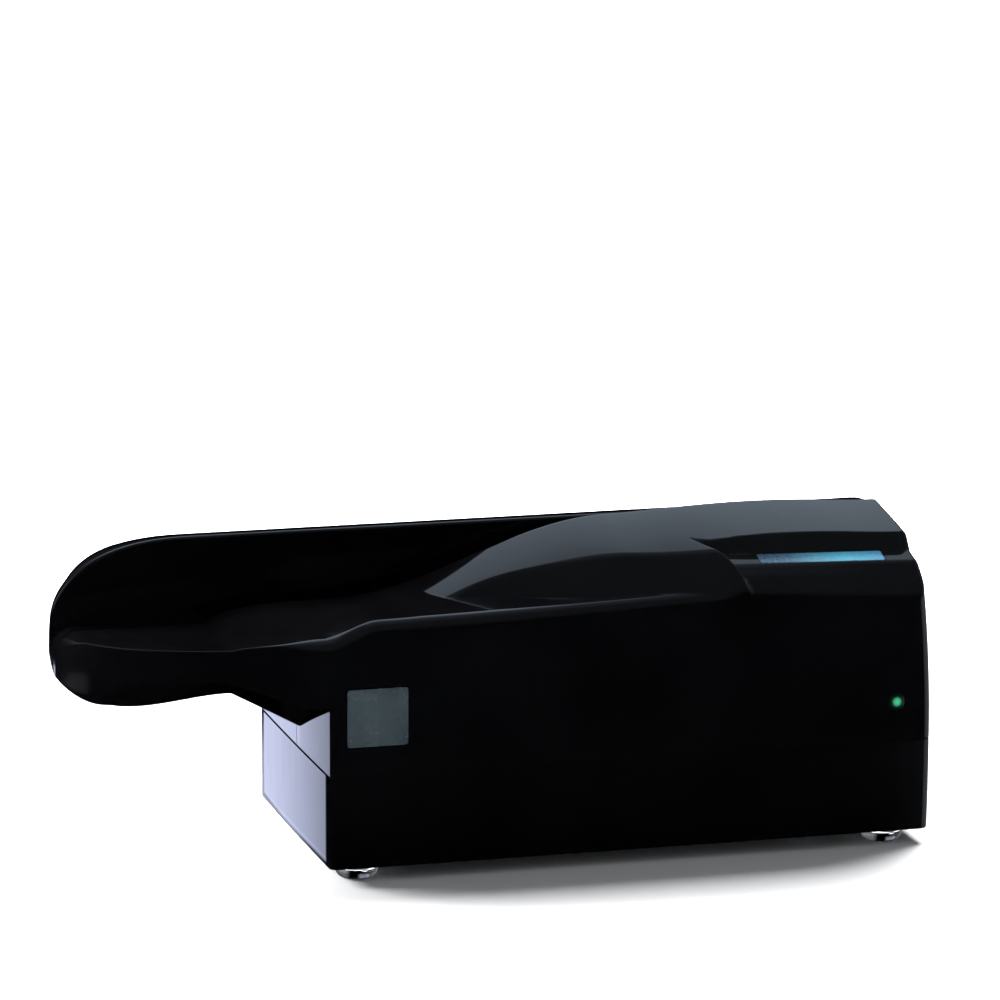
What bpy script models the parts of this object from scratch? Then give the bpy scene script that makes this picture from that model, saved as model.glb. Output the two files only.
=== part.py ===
"""Cheque reader: a small counter-top machine that draws a cheque or bank slip, standing on
edge, through a slot from left to right, past a magnetic head and a bar code window.

Metres, +Z up. X runs along the slot from the entry wing at the left to the exit at the
right, Y from the front face to the back, and the origin is on the table under the middle of
the whole machine. Places are first worked out in the housing's own frame, whose corner is
the front left bottom edge of the base tray, and placed() moves them into the part's frame.
"""

import math

import bmesh
import bpy
import numpy as np

# Housing
body_width = 0.128
body_depth = 0.062
seam_height = 0.01965
shelf_height = 0.047
wall = 0.0022
seam_gap = 0.0003
corner_radius = 0.0016
end_bulge = 0.0015
end_taper = 1.4
overrun = 0.002
jump = 0.00005
weld_distance = 0.000002
hollow_detail = 0.6

# Paper slot
slot_front = 0.028
slot_gap = 0.0052
slot_wall = 0.002
shelf_thickness = 0.002
lip_round = 0.0006

# Top of the front cover
lip_foot = 0.0036
lip_rise = 0.0148
ramp_lead = 0.045
ramp_length = 0.059
crown_reach = 0.068
crown_length = 0.074
crown_rise = 0.0012
crease_round = 0.001
crease_foot = 0.0043
crease_rise = 0.0044
crease_start = 0.015
corner_drop = 0.0035
corner_run = 0.012
shoulder_left = 0.012
shoulder_right = 0.003
shoulder_drop = 0.0030
brow_share = 0.45
hood_edge = 0.0098
hood_rise = 0.0033
ledge_back = 0.0084
ledge_rise = 0.0117
ledge_slope = 0.30
hood_length = 0.0395
notch_length = 0.0085
notch_front = 0.003
notch_steepness = 2.2
blend_reach = 0.0005

# Top of the rear cover
rear_rise = 0.017
rear_fall = 0.0082
rear_round = 0.003
rear_power = 1.6

# Entry wing
wing_reach = 0.0512
wing_power = 2.4
nose_turn = 84
tongue_length = 0.0193
keel_forward = 0.003
keel_depth = 0.0127
keel_dip = 0.0034
keel_clearance = 0.0052
keel_run = 0.0162
keel_nose = 0.034
nose_drop = 0.0055
hem_depth = 0.013
nose_round = 0.005
sail_start = 0.0205
sail_reach = 0.0275
sail_sink = 0.002
sail_edge = 0.012

# Feet
foot_height = 0.003
foot_radius = 0.0045
foot_inset_x = 0.0071
foot_inset_y = 0.0062
foot_recess = 0.0005

# Screw columns
column_radius = 0.0035
column_left = 0.0148
column_right_inset = 0.022
column_inset = 0.008
screw_radius = 0.0013
screw_head_radius = 0.0026
screw_head_height = 0.0016
screw_length = 0.024
screw_clearance = 0.0003
drive_arm_share = 0.7
drive_slot_share = 0.16

# Chassis
chassis_drop = 0.011
chassis_thickness = 0.0025
chassis_left = 0.0052
chassis_end_gap = 0.0042
chassis_front_reach = 0.0135
chassis_back_reach = 0.0143
pillar_radius = 0.003
pillar_inset = 0.0033
pillar_front_inset = 0.0055
pillar_back_inset = 0.0065
fit_gap = 0.0003
running_gap = 0.0001

# Drive train
module = 0.001
roller_teeth = 18
middle_teeth = 28
pinion_teeth = 10
backlash = 0.00016
gear_clearance = 0.0012
gear_height = 0.0036
hub_radius = 0.003
drive_radius = 0.007
right_inset = 0.030
shaft_radius = 0.0015
shaft_foot = 0.0015
shaft_top_reach = 0.0033
tyre_clearance = 0.0015
tyre_height = 0.006
core_radius = 0.0045
bush_radius = 0.0026
bush_flange = 0.0036
bush_flange_height = 0.0007
boss_radius = 0.0034
boss_clearance = 0.0007
motor_radius = 0.010
motor_height = 0.0248
motor_shift = 0.011
motor_shaft_radius = 0.001

# Pinch rollers
pinch_radius = 0.0065
pinch_arm_reach = 0.014
pinch_pivot_set_back = 0.0088
pinch_arm_drop = 0.0008
pinch_arm_height = 0.002
pinch_arm_end = 0.0016
pinch_hub_radius = 0.003
pinch_pin_radius = 0.0012
pinch_post_radius = 0.0026
spring_thickness = 0.0003
spring_post_reach = 0.0140
spring_post_width = 0.0024
spring_post_slit = 0.0009
spring_post_lip = 0.0008

# Magnetic read head
head_depth = 0.010
head_width = 0.010
head_clearance = 0.002
head_height = 0.008
head_nose_radius = 0.0055
arm_reach = 0.012
arm_set_forward = 0.001
arm_thickness = 0.0027
arm_hub_radius = 0.0022
arm_pin_radius = 0.001
arm_pin_head = 0.002
arm_pin_head_height = 0.0007
arm_boss_clearance = 0.0006
arm_travel_room = 0.0018
pad_thickness = 0.0021
pad_width = 0.008
anchor_reach = 0.0028
anchor_width = 0.002
anchor_depth = 0.003

# Bar code reader, magnet and paper sensors
scanner_lead = 0.0145
scanner_width = 0.0078
scanner_depth = 0.018
scanner_drop = 0.001
scanner_height = 0.010
scanner_boss_reach = 0.005
scanner_boss_radius = 0.0025
window_width = 0.0056
window_clearance = 0.0012
window_height = 0.0072
window_thickness = 0.0014
magnet_lead = 0.0215
magnet_width = 0.006
magnet_depth = 0.004
magnet_clearance = 0.0005
magnet_height = 0.0042
magnet_tray = 0.0014
sensor_lead = 0.0123
sensor_rise = 0.0036
sensor_radius = 0.0015
sensor_length = 0.0052
sensor_set_back = 0.0004

# Electronics
board_left = 0.019
board_right_gap = 0.034
board_front = 0.013
board_back_gap = 0.004
board_low = 0.0047
board_thickness = 0.0016
board_post_radius = 0.0025
board_post_inset = 0.004
chip_side = 0.010
chip_height = 0.0012
chip_right = 0.026
chip_behind = 0.017
capacitor_inset_x = 0.012
capacitor_inset_y = 0.008
capacitor_radius = 0.004
capacitor_height = 0.012
header_width = 0.009
header_depth = 0.004
header_height = 0.005
header_inset = 0.0035
usb_left = 0.026
usb_width = 0.012
usb_depth = 0.0162
usb_height = 0.0109
usb_wall = 0.0008
usb_mouth_depth = 0.009
usb_tongue_width = 0.0056
usb_tongue_height = 0.0032
usb_tongue_reach = 0.007
ribbon_width = 0.007
ribbon_thickness = 0.0004
ribbon_run = 0.0062
ribbon_bend = 0.0022
light_inset = 0.0062
light_rise = 0.00825
light_radius = 0.0017
light_flange = 0.0024
light_length = 0.0042
lamp_board_side = 0.007
lamp_board_thickness = 0.0012
lamp_length = 0.0028
lamp_radius = 0.0012
lamp_rib = 0.001

# Badge and label
badge_left = 0.0034
badge_width = 0.0134
badge_rise = 0.00565
badge_height = 0.0127
plate_thickness = 0.0004
plate_set_back = 0.00005
label_inset = 0.009
label_length = 0.0255
label_front = 0.0018
label_back = 0.0083
label_thickness = 0.0004

round_segments = 20
boss_segments = 12
big_segments = 28

right_reach = body_width + end_bulge
nose_reach = wing_reach * math.sin(math.radians(nose_turn))
centre_x = (right_reach - nose_reach) / 2
centre_y = body_depth / 2
slot_back = slot_front + slot_gap
paper_line = (slot_front + slot_back) / 2
notch_corner = body_width - hood_length
notch_left = notch_corner - notch_length
lip_low = shelf_height + lip_foot
crown_start = body_width - crown_reach
crease_low = shelf_height + crease_foot
ledge_height = shelf_height + ledge_rise
hood_height = ledge_height + hood_rise
rear_top = shelf_height + rear_rise
keel_place = slot_front - keel_forward
keel_height = shelf_height - keel_depth
keel_drop = keel_height - seam_height - keel_clearance
nose_height = shelf_height - nose_drop
under_edge = shelf_height - hem_depth
sail_foot = shelf_height - sail_sink
front_half_back = slot_front - seam_gap / 2
rear_half_front = slot_front + seam_gap / 2
drive_y = paper_line - fit_gap / 2 - drive_radius
pinch_y = paper_line + fit_gap / 2 + pinch_radius
pinch_pivot_y = slot_back + pinch_pivot_set_back
gear_distance = module * (roller_teeth + middle_teeth) / 2
right_station = body_width - right_inset
middle_x = right_station - gear_distance
left_station = middle_x - gear_distance
ramp_start = left_station - ramp_lead
motor_distance = module * (roller_teeth + pinion_teeth) / 2
motor_x = right_station + motor_shift
motor_y = drive_y + math.sqrt(motor_distance**2 - motor_shift**2)
column_right = body_width - column_right_inset
chassis_low = shelf_height - chassis_drop
chassis_high = chassis_low + chassis_thickness
chassis_right = body_width - chassis_end_gap
chassis_front = slot_front - chassis_front_reach
chassis_back = slot_back + chassis_back_reach
pillar_left = chassis_left + pillar_inset
pillar_right = chassis_right - pillar_inset
pillar_front = chassis_front + pillar_front_inset
pillar_back = chassis_back - pillar_back_inset
gear_low = chassis_high + gear_clearance
tyre_low = shelf_height + tyre_clearance
shaft_low = chassis_low - shaft_foot
shaft_high = tyre_low + tyre_height + shaft_top_reach
boss_low = tyre_low + tyre_height + boss_clearance
pinch_arm_low = shelf_height - pinch_arm_drop
head_centre = middle_x
head_back = slot_front - head_depth
head_low = shelf_height + head_clearance
arm_pivot_x = head_centre + arm_reach
arm_pivot_y = head_back - arm_set_forward
arm_boss_low = head_low + head_height + arm_boss_clearance
anchor_left = arm_pivot_x + anchor_reach
scanner_left = head_centre - scanner_lead
scanner_right = scanner_left + scanner_width
scanner_front = slot_front - scanner_depth
scanner_low = shelf_height - scanner_drop
scanner_high = scanner_low + scanner_height
scanner_boss_y = scanner_front + scanner_boss_reach
window_low = shelf_height + window_clearance
magnet_left = left_station - magnet_lead
magnet_low = shelf_height + magnet_clearance
sensor_x = left_station - sensor_lead
sensor_z = shelf_height + sensor_rise
board_right = body_width - board_right_gap
board_back = body_depth - board_back_gap
chip_x = board_left + chip_right
chip_y = board_front + chip_behind
capacitor_x = board_right - capacitor_inset_x
capacitor_y = board_front + capacitor_inset_y
header_y = board_front + header_inset
light_x = body_width - light_inset
light_z = seam_height + light_rise
badge_right = badge_left + badge_width
badge_low = seam_height + badge_rise
badge_high = badge_low + badge_height
label_right = body_width - label_inset
label_left = label_right - label_length
shelf_under = shelf_height - shelf_thickness
top_low = seam_height + seam_gap / 2
stations = {"left": left_station, "right": right_station}


def clear_scene():
    """Removes whatever the file holds, so that only this machine is left."""
    for old in list(bpy.data.objects):
        bpy.data.objects.remove(old, do_unlink=True)


def placed(points):
    """Points of the housing's frame moved into the part's frame."""
    return np.asarray(points, float) + (-centre_x, -centre_y, foot_height)


def material(name, colour, roughness, metallic=0.0, transmission=0.0):
    """One Principled material, made once for each name."""
    made = bpy.data.materials.get(name)
    if made:
        return made
    made = bpy.data.materials.new(name)
    made.use_nodes = True
    shader = made.node_tree.nodes["Principled BSDF"]
    shader.inputs["Base Color"].default_value = (*colour, 1.0)
    shader.inputs["Roughness"].default_value = roughness
    shader.inputs["Metallic"].default_value = metallic
    shader.inputs["Transmission Weight"].default_value = transmission
    return made


def gloss_black():
    return material("gloss_black", (0.006, 0.006, 0.007), 0.08)


def inner_black():
    return material("inner_black", (0.02, 0.02, 0.022), 0.45)


def steel():
    return material("steel", (0.62, 0.62, 0.64), 0.25, 1.0)


def spring_steel():
    return material("spring_steel", (0.5, 0.5, 0.52), 0.3, 1.0)


def bronze():
    return material("bronze", (0.55, 0.36, 0.16), 0.4, 1.0)


def white_nylon():
    return material("white_nylon", (0.82, 0.81, 0.76), 0.4)


def grey_rubber():
    return material("grey_rubber", (0.09, 0.09, 0.095), 0.8)


def clear_rubber():
    return material("clear_rubber", (0.9, 0.92, 0.93), 0.08, 0.0, 0.8)


def clear_acrylic():
    return material("clear_acrylic", (0.55, 0.08, 0.1), 0.05, 0.0, 0.6)


def green_acrylic():
    return material("green_acrylic", (0.05, 0.5, 0.2), 0.1, 0.0, 0.5)


def board_green():
    return material("board_green", (0.02, 0.16, 0.07), 0.4)


def chip_black():
    return material("chip_black", (0.025, 0.025, 0.027), 0.5)


def badge_grey():
    return material("badge_grey", (0.36, 0.50, 0.52), 0.35)


def label_blue():
    return material("label_blue", (0.02, 0.28, 0.62), 0.15)


def felt_grey():
    return material("felt_grey", (0.35, 0.35, 0.36), 0.95)


def from_mesh(name, points, faces, finish, pivot=None):
    """An object of these points, in the housing's frame, with its origin at the pivot."""
    points = placed(points)
    origin = placed(pivot) if pivot is not None else np.zeros(3)
    mesh = bpy.data.meshes.new(name)
    mesh.from_pydata((points - origin).tolist(), [], [list(map(int, f)) for f in faces])
    shaped = bmesh.new()
    shaped.from_mesh(mesh)
    bmesh.ops.remove_doubles(shaped, verts=shaped.verts, dist=weld_distance)
    bmesh.ops.triangulate(shaped, faces=shaped.faces)
    bmesh.ops.recalc_face_normals(shaped, faces=shaped.faces)
    shaped.to_mesh(mesh)
    shaped.free()
    mesh.shade_smooth()
    mesh.set_sharp_from_angle(angle=math.radians(35))
    made = bpy.data.objects.new(name, mesh)
    made.location = origin
    made.data.materials.append(finish)
    bpy.context.scene.collection.objects.link(made)
    return made


def ring_faces(rings, around):
    """Faces of a tube of rings, each with this many points, and its two end caps."""
    faces = []
    for ring in range(rings - 1):
        for i in range(around):
            j = (i + 1) % around
            a, b = ring * around, (ring + 1) * around
            faces.append((a + i, a + j, b + j, b + i))
    faces.append(range(around))
    faces.append(range((rings - 1) * around, rings * around))
    return faces


def loft(name, sections, finish):
    """A closed solid through sections of equally many points: stations x points x 3."""
    sections = np.asarray(sections, float)
    rings, around = sections.shape[:2]
    return from_mesh(name, sections.reshape(-1, 3), ring_faces(rings, around), finish)


def prism(name, outline, low, high, finish, axis="Z", pivot=None):
    """An outline in the plane across an axis, carried from low to high along it."""
    order = {"Z": (0, 1, 2), "X": (2, 0, 1), "Y": (0, 2, 1)}[axis]
    outline = np.asarray(outline, float)
    rings = []
    for level in (low, high):
        flat = np.column_stack([outline, np.full(len(outline), level)])
        rings.append(flat[:, order])
    return from_mesh(name, np.concatenate(rings), ring_faces(2, len(outline)), finish, pivot)


def circle(centre, radius, segments=round_segments, turn=0.0):
    """Points around a circle."""
    angle = turn + np.arange(segments) * (2 * math.pi / segments)
    return np.column_stack([centre[0] + radius * np.cos(angle), centre[1] + radius * np.sin(angle)])


def box(name, low, high, finish, pivot=None):
    """A rectangular block between two corners."""
    outline = ((low[0], low[1]), (high[0], low[1]), (high[0], high[1]), (low[0], high[1]))
    return prism(name, outline, low[2], high[2], finish, pivot=pivot)


def turned(name, centre, profile, finish, segments=round_segments, pivot=None):
    """A profile of (radius, height) turned about the upright axis through the centre."""
    rings = []
    for radius, height in profile:
        flat = circle(centre, radius, segments)
        rings.append(np.column_stack([flat, np.full(segments, height)]))
    faces = ring_faces(len(rings), segments)
    return from_mesh(name, np.concatenate(rings), faces, finish, pivot)


def sleeve(name, centre, outer, inner, low, high, finish, pivot=None, flange=None):
    """A bored cylinder, with a flange of (radius, height) at its top where one is asked."""
    profile = [(inner, low), (outer, low), (outer, high), (inner, high)]
    if flange:
        profile[3:3] = [(outer, high), (flange[0], high), (flange[0], high + flange[1])]
        profile[2] = (outer, high)
        del profile[3]
        profile[-1] = (inner, high + flange[1])
    rings = []
    for radius, height in profile:
        flat = circle(centre, radius)
        rings.append(np.column_stack([flat, np.full(len(flat), height)]))
    points = np.concatenate(rings)
    count = len(rings)
    faces = []
    for ring in range(count):
        after = (ring + 1) % count
        for i in range(round_segments):
            j = (i + 1) % round_segments
            a, b = ring * round_segments, after * round_segments
            faces.append((a + i, a + j, b + j, b + i))
    return from_mesh(name, points, faces, finish, pivot)


def tool(shape):
    """Marks a shape as a helper that only cuts or joins."""
    shape.hide_render = True
    shape.display_type = "WIRE"
    return shape


def boolean(target, shapes, operation):
    """Joins or cuts all of the shapes in one exact step, so that nothing is rounded between."""
    group = bpy.data.collections.new("%s_%s" % (target.name, operation.lower()))
    for shape in shapes:
        group.objects.link(tool(shape))
    step = target.modifiers.new(operation.lower(), "BOOLEAN")
    step.operation = operation
    step.solver = "EXACT"
    step.operand_type = "COLLECTION"
    step.collection = group


def cut(target, *shapes):
    boolean(target, shapes, "DIFFERENCE")


def join(target, *shapes):
    boolean(target, shapes, "UNION")


def cutter_box(name, low, high):
    return box(name, low, high, inner_black())


def ease(share):
    """Rises from 0 to 1 with a level start and a level end."""
    share = np.clip(share, 0.0, 1.0)
    return share * share * (3 - 2 * share)


def softer_min(first, second, reach):
    """The lower of two heights, rounded where they cross."""
    gap = np.clip(0.5 + (second - first) / (2 * reach), 0.0, 1.0)
    return second + (first - second) * gap - reach * gap * (1 - gap)


def lip_height(x):
    """Height of the slot's front lip: a tongue on the wing, a long ramp, then a slight crown."""
    on_wing = np.sqrt(np.clip(1 - (np.minimum(x, 0) / tongue_length) ** 2, 0, 1))
    low = shelf_height + (lip_low - shelf_height) * on_wing
    ramp = lip_rise * ease((x - ramp_start) / ramp_length)
    crown = np.sin(np.pi * np.clip((x - crown_start) / crown_length, 0, 1)) ** 2
    return low + ramp + crown_rise * crown


def crease_height(x):
    """Height of the front face's upper crease, which drops to the wing at its left end."""
    run = np.clip((x - crease_start) / (body_width - crease_start), 0, 1)
    corner = np.clip(1 - np.maximum(x, 0) / corner_run, 0, 1) ** 2
    return crease_low + crease_rise * run**1.4 - corner_drop * corner


def wing_half(x):
    """Half of the wing's width in plan: a superellipse from the body to the nose."""
    share = np.clip(-x / wing_reach, 0, 1)
    return centre_y * (1 - share**wing_power) ** (1 / wing_power)


def front_edge(x):
    return np.where(x < 0, centre_y - wing_half(x), 0.0)


def back_edge(x):
    return np.where(x < 0, centre_y + wing_half(x), body_depth)


def edge_radius(x):
    """Rounding of the top's outer edge, which grows towards the wing's nose."""
    return crease_round + (nose_round - crease_round) * ease(-x / wing_reach)


def hump_top(x, y):
    """The front cover's upper surface without its notch."""
    lip, crease = lip_height(x), crease_height(x)
    run = np.clip(x / notch_corner, 0, 1)
    shoulder = shoulder_left + (shoulder_right - shoulder_left) * ease(run)
    hump = ease((x - ramp_start) / ramp_length)
    brow = lip - shoulder_drop * hump - (lip - crease) * brow_share * (1 - hump)
    deep = np.clip((y - crease_round) / (shoulder - crease_round), 0, 1)
    front = crease + (brow - crease) * (1 - (1 - deep) ** 1.6)
    back = brow + (lip - brow) * np.clip((y - shoulder) / (slot_front - shoulder), 0, 1)
    return np.where(y < shoulder, front, back)


def notch_floor(x, y):
    """The ledge, with the hood's front wall behind it and the hump's end at its left."""
    ledge = ledge_height - (ledge_back - y) * ledge_slope
    wall_rise = (hood_height - ledge_height) / (hood_edge - ledge_back)
    behind = np.maximum(y - ledge_back, 0) * wall_rise
    along = (notch_corner - notch_left, notch_front - hood_edge)
    length = math.hypot(*along)
    left = ((x - notch_left) * along[1] - (y - hood_edge) * along[0]) / length
    return ledge + behind + notch_steepness * np.maximum(left, 0)


def rounded_edge(distance, across, height):
    """How far a rounded edge has fallen at this distance from the outline."""
    share = np.clip(distance / across, 0, 1)
    return height * (1 - np.sqrt(np.clip(1 - (1 - share) ** 2, 0, 1)))


def front_top(x, y, inset=0.0):
    """Height of the front cover's top, or of its inner face where an inset is given."""
    y = np.maximum(y - inset, 0.0)
    lip = lip_height(x)
    run = np.clip(y / slot_front, 0, 1)
    wing = shelf_height + (lip - shelf_height) * (0.25 + 0.75 * run)
    body = softer_min(hump_top(x, y), notch_floor(x, y), blend_reach)
    height = np.where(x < 0, wing, body)
    edge = np.where(x < 0, front_edge(x), 0.0)
    across = np.minimum(edge_radius(x), 0.9 * np.maximum(slot_front - edge, jump))
    return height - rounded_edge(y - edge, across, edge_radius(x)) - inset


def sail_height(x):
    """Top line of the rear cover's slot wall: level, then a quarter ellipse on the wing."""
    share = np.clip((-sail_start - x) / sail_reach, 0, 1)
    sail = sail_foot + (rear_top - sail_foot) * np.sqrt(1 - share**2)
    return np.maximum(sail, shelf_height + jump)


def rear_roof(x, y, inset=0.0):
    """Height of the rear cover's top, which falls backwards and rounds into the back."""
    y = y + inset
    top, edge = sail_height(x), back_edge(x)
    run = np.clip((y - slot_back) / (body_depth - slot_back), 0, 1)
    roof = top - rear_fall * run**rear_power
    wing = ease(-x / wing_reach)
    across = rear_round + (sail_edge - rear_round) * wing
    across = np.minimum(across, 0.9 * np.maximum(edge - slot_back, jump))
    last = np.clip((edge - slot_back) / (body_depth - slot_back), 0, 1)
    hem = np.minimum(nose_height + edge_radius(x) * 0.3, top)
    fall = rear_round + (top - rear_fall * last**rear_power - hem - rear_round) * wing
    return roof - rounded_edge(edge - y, across, fall) - inset


def keel(x):
    """Lowest line of the wing: level, rounded up to the nose, and dropping to the body."""
    nose = np.clip((-keel_nose - x) / (wing_reach - keel_nose), 0, 1)
    line = keel_height - keel_dip * ease((-x - keel_run) / (keel_nose - keel_run))
    line = line + (nose_height - keel_height + keel_dip) * (1 - np.sqrt(1 - nose**2))
    return line - keel_drop * np.clip(1 + x / keel_run, 0, 1)


def hem_height(x):
    """Height at which the wing's side turns into its underside."""
    return under_edge + (nose_height - under_edge) * ease(-x / (0.8 * wing_reach))


def under(x, y, inset=0.0):
    """Underside of the wing, a shallow V with its keel a little in front of the middle."""
    edge = np.where(y < keel_place, front_edge(x), back_edge(x))
    reach = np.maximum(np.abs(edge - keel_place), jump)
    share = np.clip(np.abs(y - keel_place) / reach, 0, 1)
    return keel(x) + (hem_height(x) - keel(x)) * share**1.2 + inset


def bulged(points):
    """Moves the right end outwards, most at the seam, as its face is slightly convex."""
    points = np.array(points, float)
    x, z = points[..., 0], points[..., 2]
    far = shelf_height + lip_rise - seam_height
    share = np.where(z < seam_height, 0.8, end_taper) * (z - seam_height) / far
    near_end = ease((x / body_width - 0.85) / 0.13)
    points[..., 0] = x + end_bulge * np.clip(1 - share**2, -1.2, 1) * near_end
    return points


def x_stations(inset=0.0, detail=1.0):
    """Where the covers' sections stand: close together on the nose, the ramp and the notch."""
    counts = [max(3, round(detail * most)) for most in (7, 4, 12, 5, 4)]
    start = math.degrees(math.asin(keel_run / (wing_reach - inset)))
    angle = np.radians(np.linspace(nose_turn, start, counts[0]))
    nose = -(wing_reach - inset) * np.sin(angle)
    keel_part = np.linspace(-keel_run, inset - jump, counts[1])[1:]
    ramp = np.linspace(inset + jump, notch_left - wall, counts[2])
    notch = np.linspace(notch_left, notch_corner + wall, counts[3])
    hood = np.linspace(notch_corner + 2 * wall, body_width - corner_radius - inset, counts[4])
    end = (body_width - 0.3 * corner_radius - inset, body_width - inset)
    return np.concatenate([nose, keel_part, ramp, notch, hood, end])


def front_section(x, inset, inner_back, low):
    """One closed section of the front cover at x, from the slot face round by the top."""
    end = body_width - inset - x
    trim = corner_radius - math.sqrt(max(corner_radius**2 - max(corner_radius - end, 0) ** 2, 0))
    edge = float(front_edge(x)) + inset + trim
    edge = min(edge, inner_back - jump)
    steps = np.array((0.0, 0.06, 0.15, 0.32, 0.5, 0.75, 1.0))
    flat = [inner_back - lip_round]
    marks = (0.8 * slot_front, 0.6 * slot_front, hood_edge + inset, ledge_back + inset)
    marks += (0.75 * ledge_back + inset, 0.5 * ledge_back + inset, notch_front + inset)
    span = max(inner_back - lip_round - edge - edge_radius(x), jump)
    wide = slot_front - lip_round - crease_round
    flat += [edge + edge_radius(x) + span * (m - crease_round) / wide for m in marks]
    flat = np.minimum(flat, inner_back - lip_round)
    curve = edge + min(edge_radius(x), 0.8 * (inner_back - edge)) * steps[::-1]
    top_y = np.concatenate([flat, curve])
    top_y = np.minimum.accumulate(np.minimum(top_y, inner_back - jump))
    top_z = front_top(x, top_y if inset == 0 else top_y, inset)
    under_y = edge + (inner_back - edge) * np.array((0.0, 0.25, 0.5, 0.75, 0.9, 1.0))
    if x < inset:
        under_z = under(x, under_y, inset)
        under_z = np.minimum(under_z, top_z.min() - jump)
    else:
        under_z = np.full(len(under_y), low)
    y = np.concatenate([(inner_back,), top_y, under_y])
    z = np.concatenate([(top_z[0] - lip_round,), top_z, under_z])
    return np.column_stack([np.full(len(y), x), y, z])


def rear_section(x, inset, shelf_from, wall_at, low):
    """One closed section of the rear cover at x: the shelf, the slot wall, roof and back."""
    end = body_width - inset - x
    trim = corner_radius - math.sqrt(max(corner_radius**2 - max(corner_radius - end, 0) ** 2, 0))
    edge = float(back_edge(x)) - inset - trim
    edge = max(edge, wall_at + 4 * jump)
    steps = np.array((0.0, 0.2, 0.45, 0.7, 0.88, 0.97, 1.0))
    top_y = wall_at + lip_round + (edge - wall_at - lip_round) * steps
    top_y = np.minimum(np.maximum(top_y, wall_at + jump), edge)
    top_z = rear_roof(x, top_y, inset)
    shelf = shelf_height - (inset if inset else 0.0)
    top_z = np.maximum(top_z, hem_height(x) + 2 * jump) if x < inset else top_z
    foot = min(shelf, top_z[0] - jump)
    under_y = edge + (shelf_from - edge) * np.array((0.0, 0.3, 0.6, 0.8, 1.0))
    if x < inset:
        under_z = np.minimum(under(x, under_y, inset), min(top_z.min(), foot) - jump)
    else:
        under_z = np.full(len(under_y), low)
    y = np.concatenate([(shelf_from, wall_at, wall_at), top_y, under_y])
    z = np.concatenate([(foot, foot, top_z[0] - min(lip_round, top_z[0] - foot) / 2), top_z, under_z])
    return np.column_stack([np.full(len(y), x), y, z])


def column_top(x, y, radius, surface):
    """Where a boss under a roof ends: inside the roof's thickness all over its footprint."""
    around = circle((x, y), radius, 8)
    return float(min(surface(px, py) for px, py in around)) - wall / 2


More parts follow.
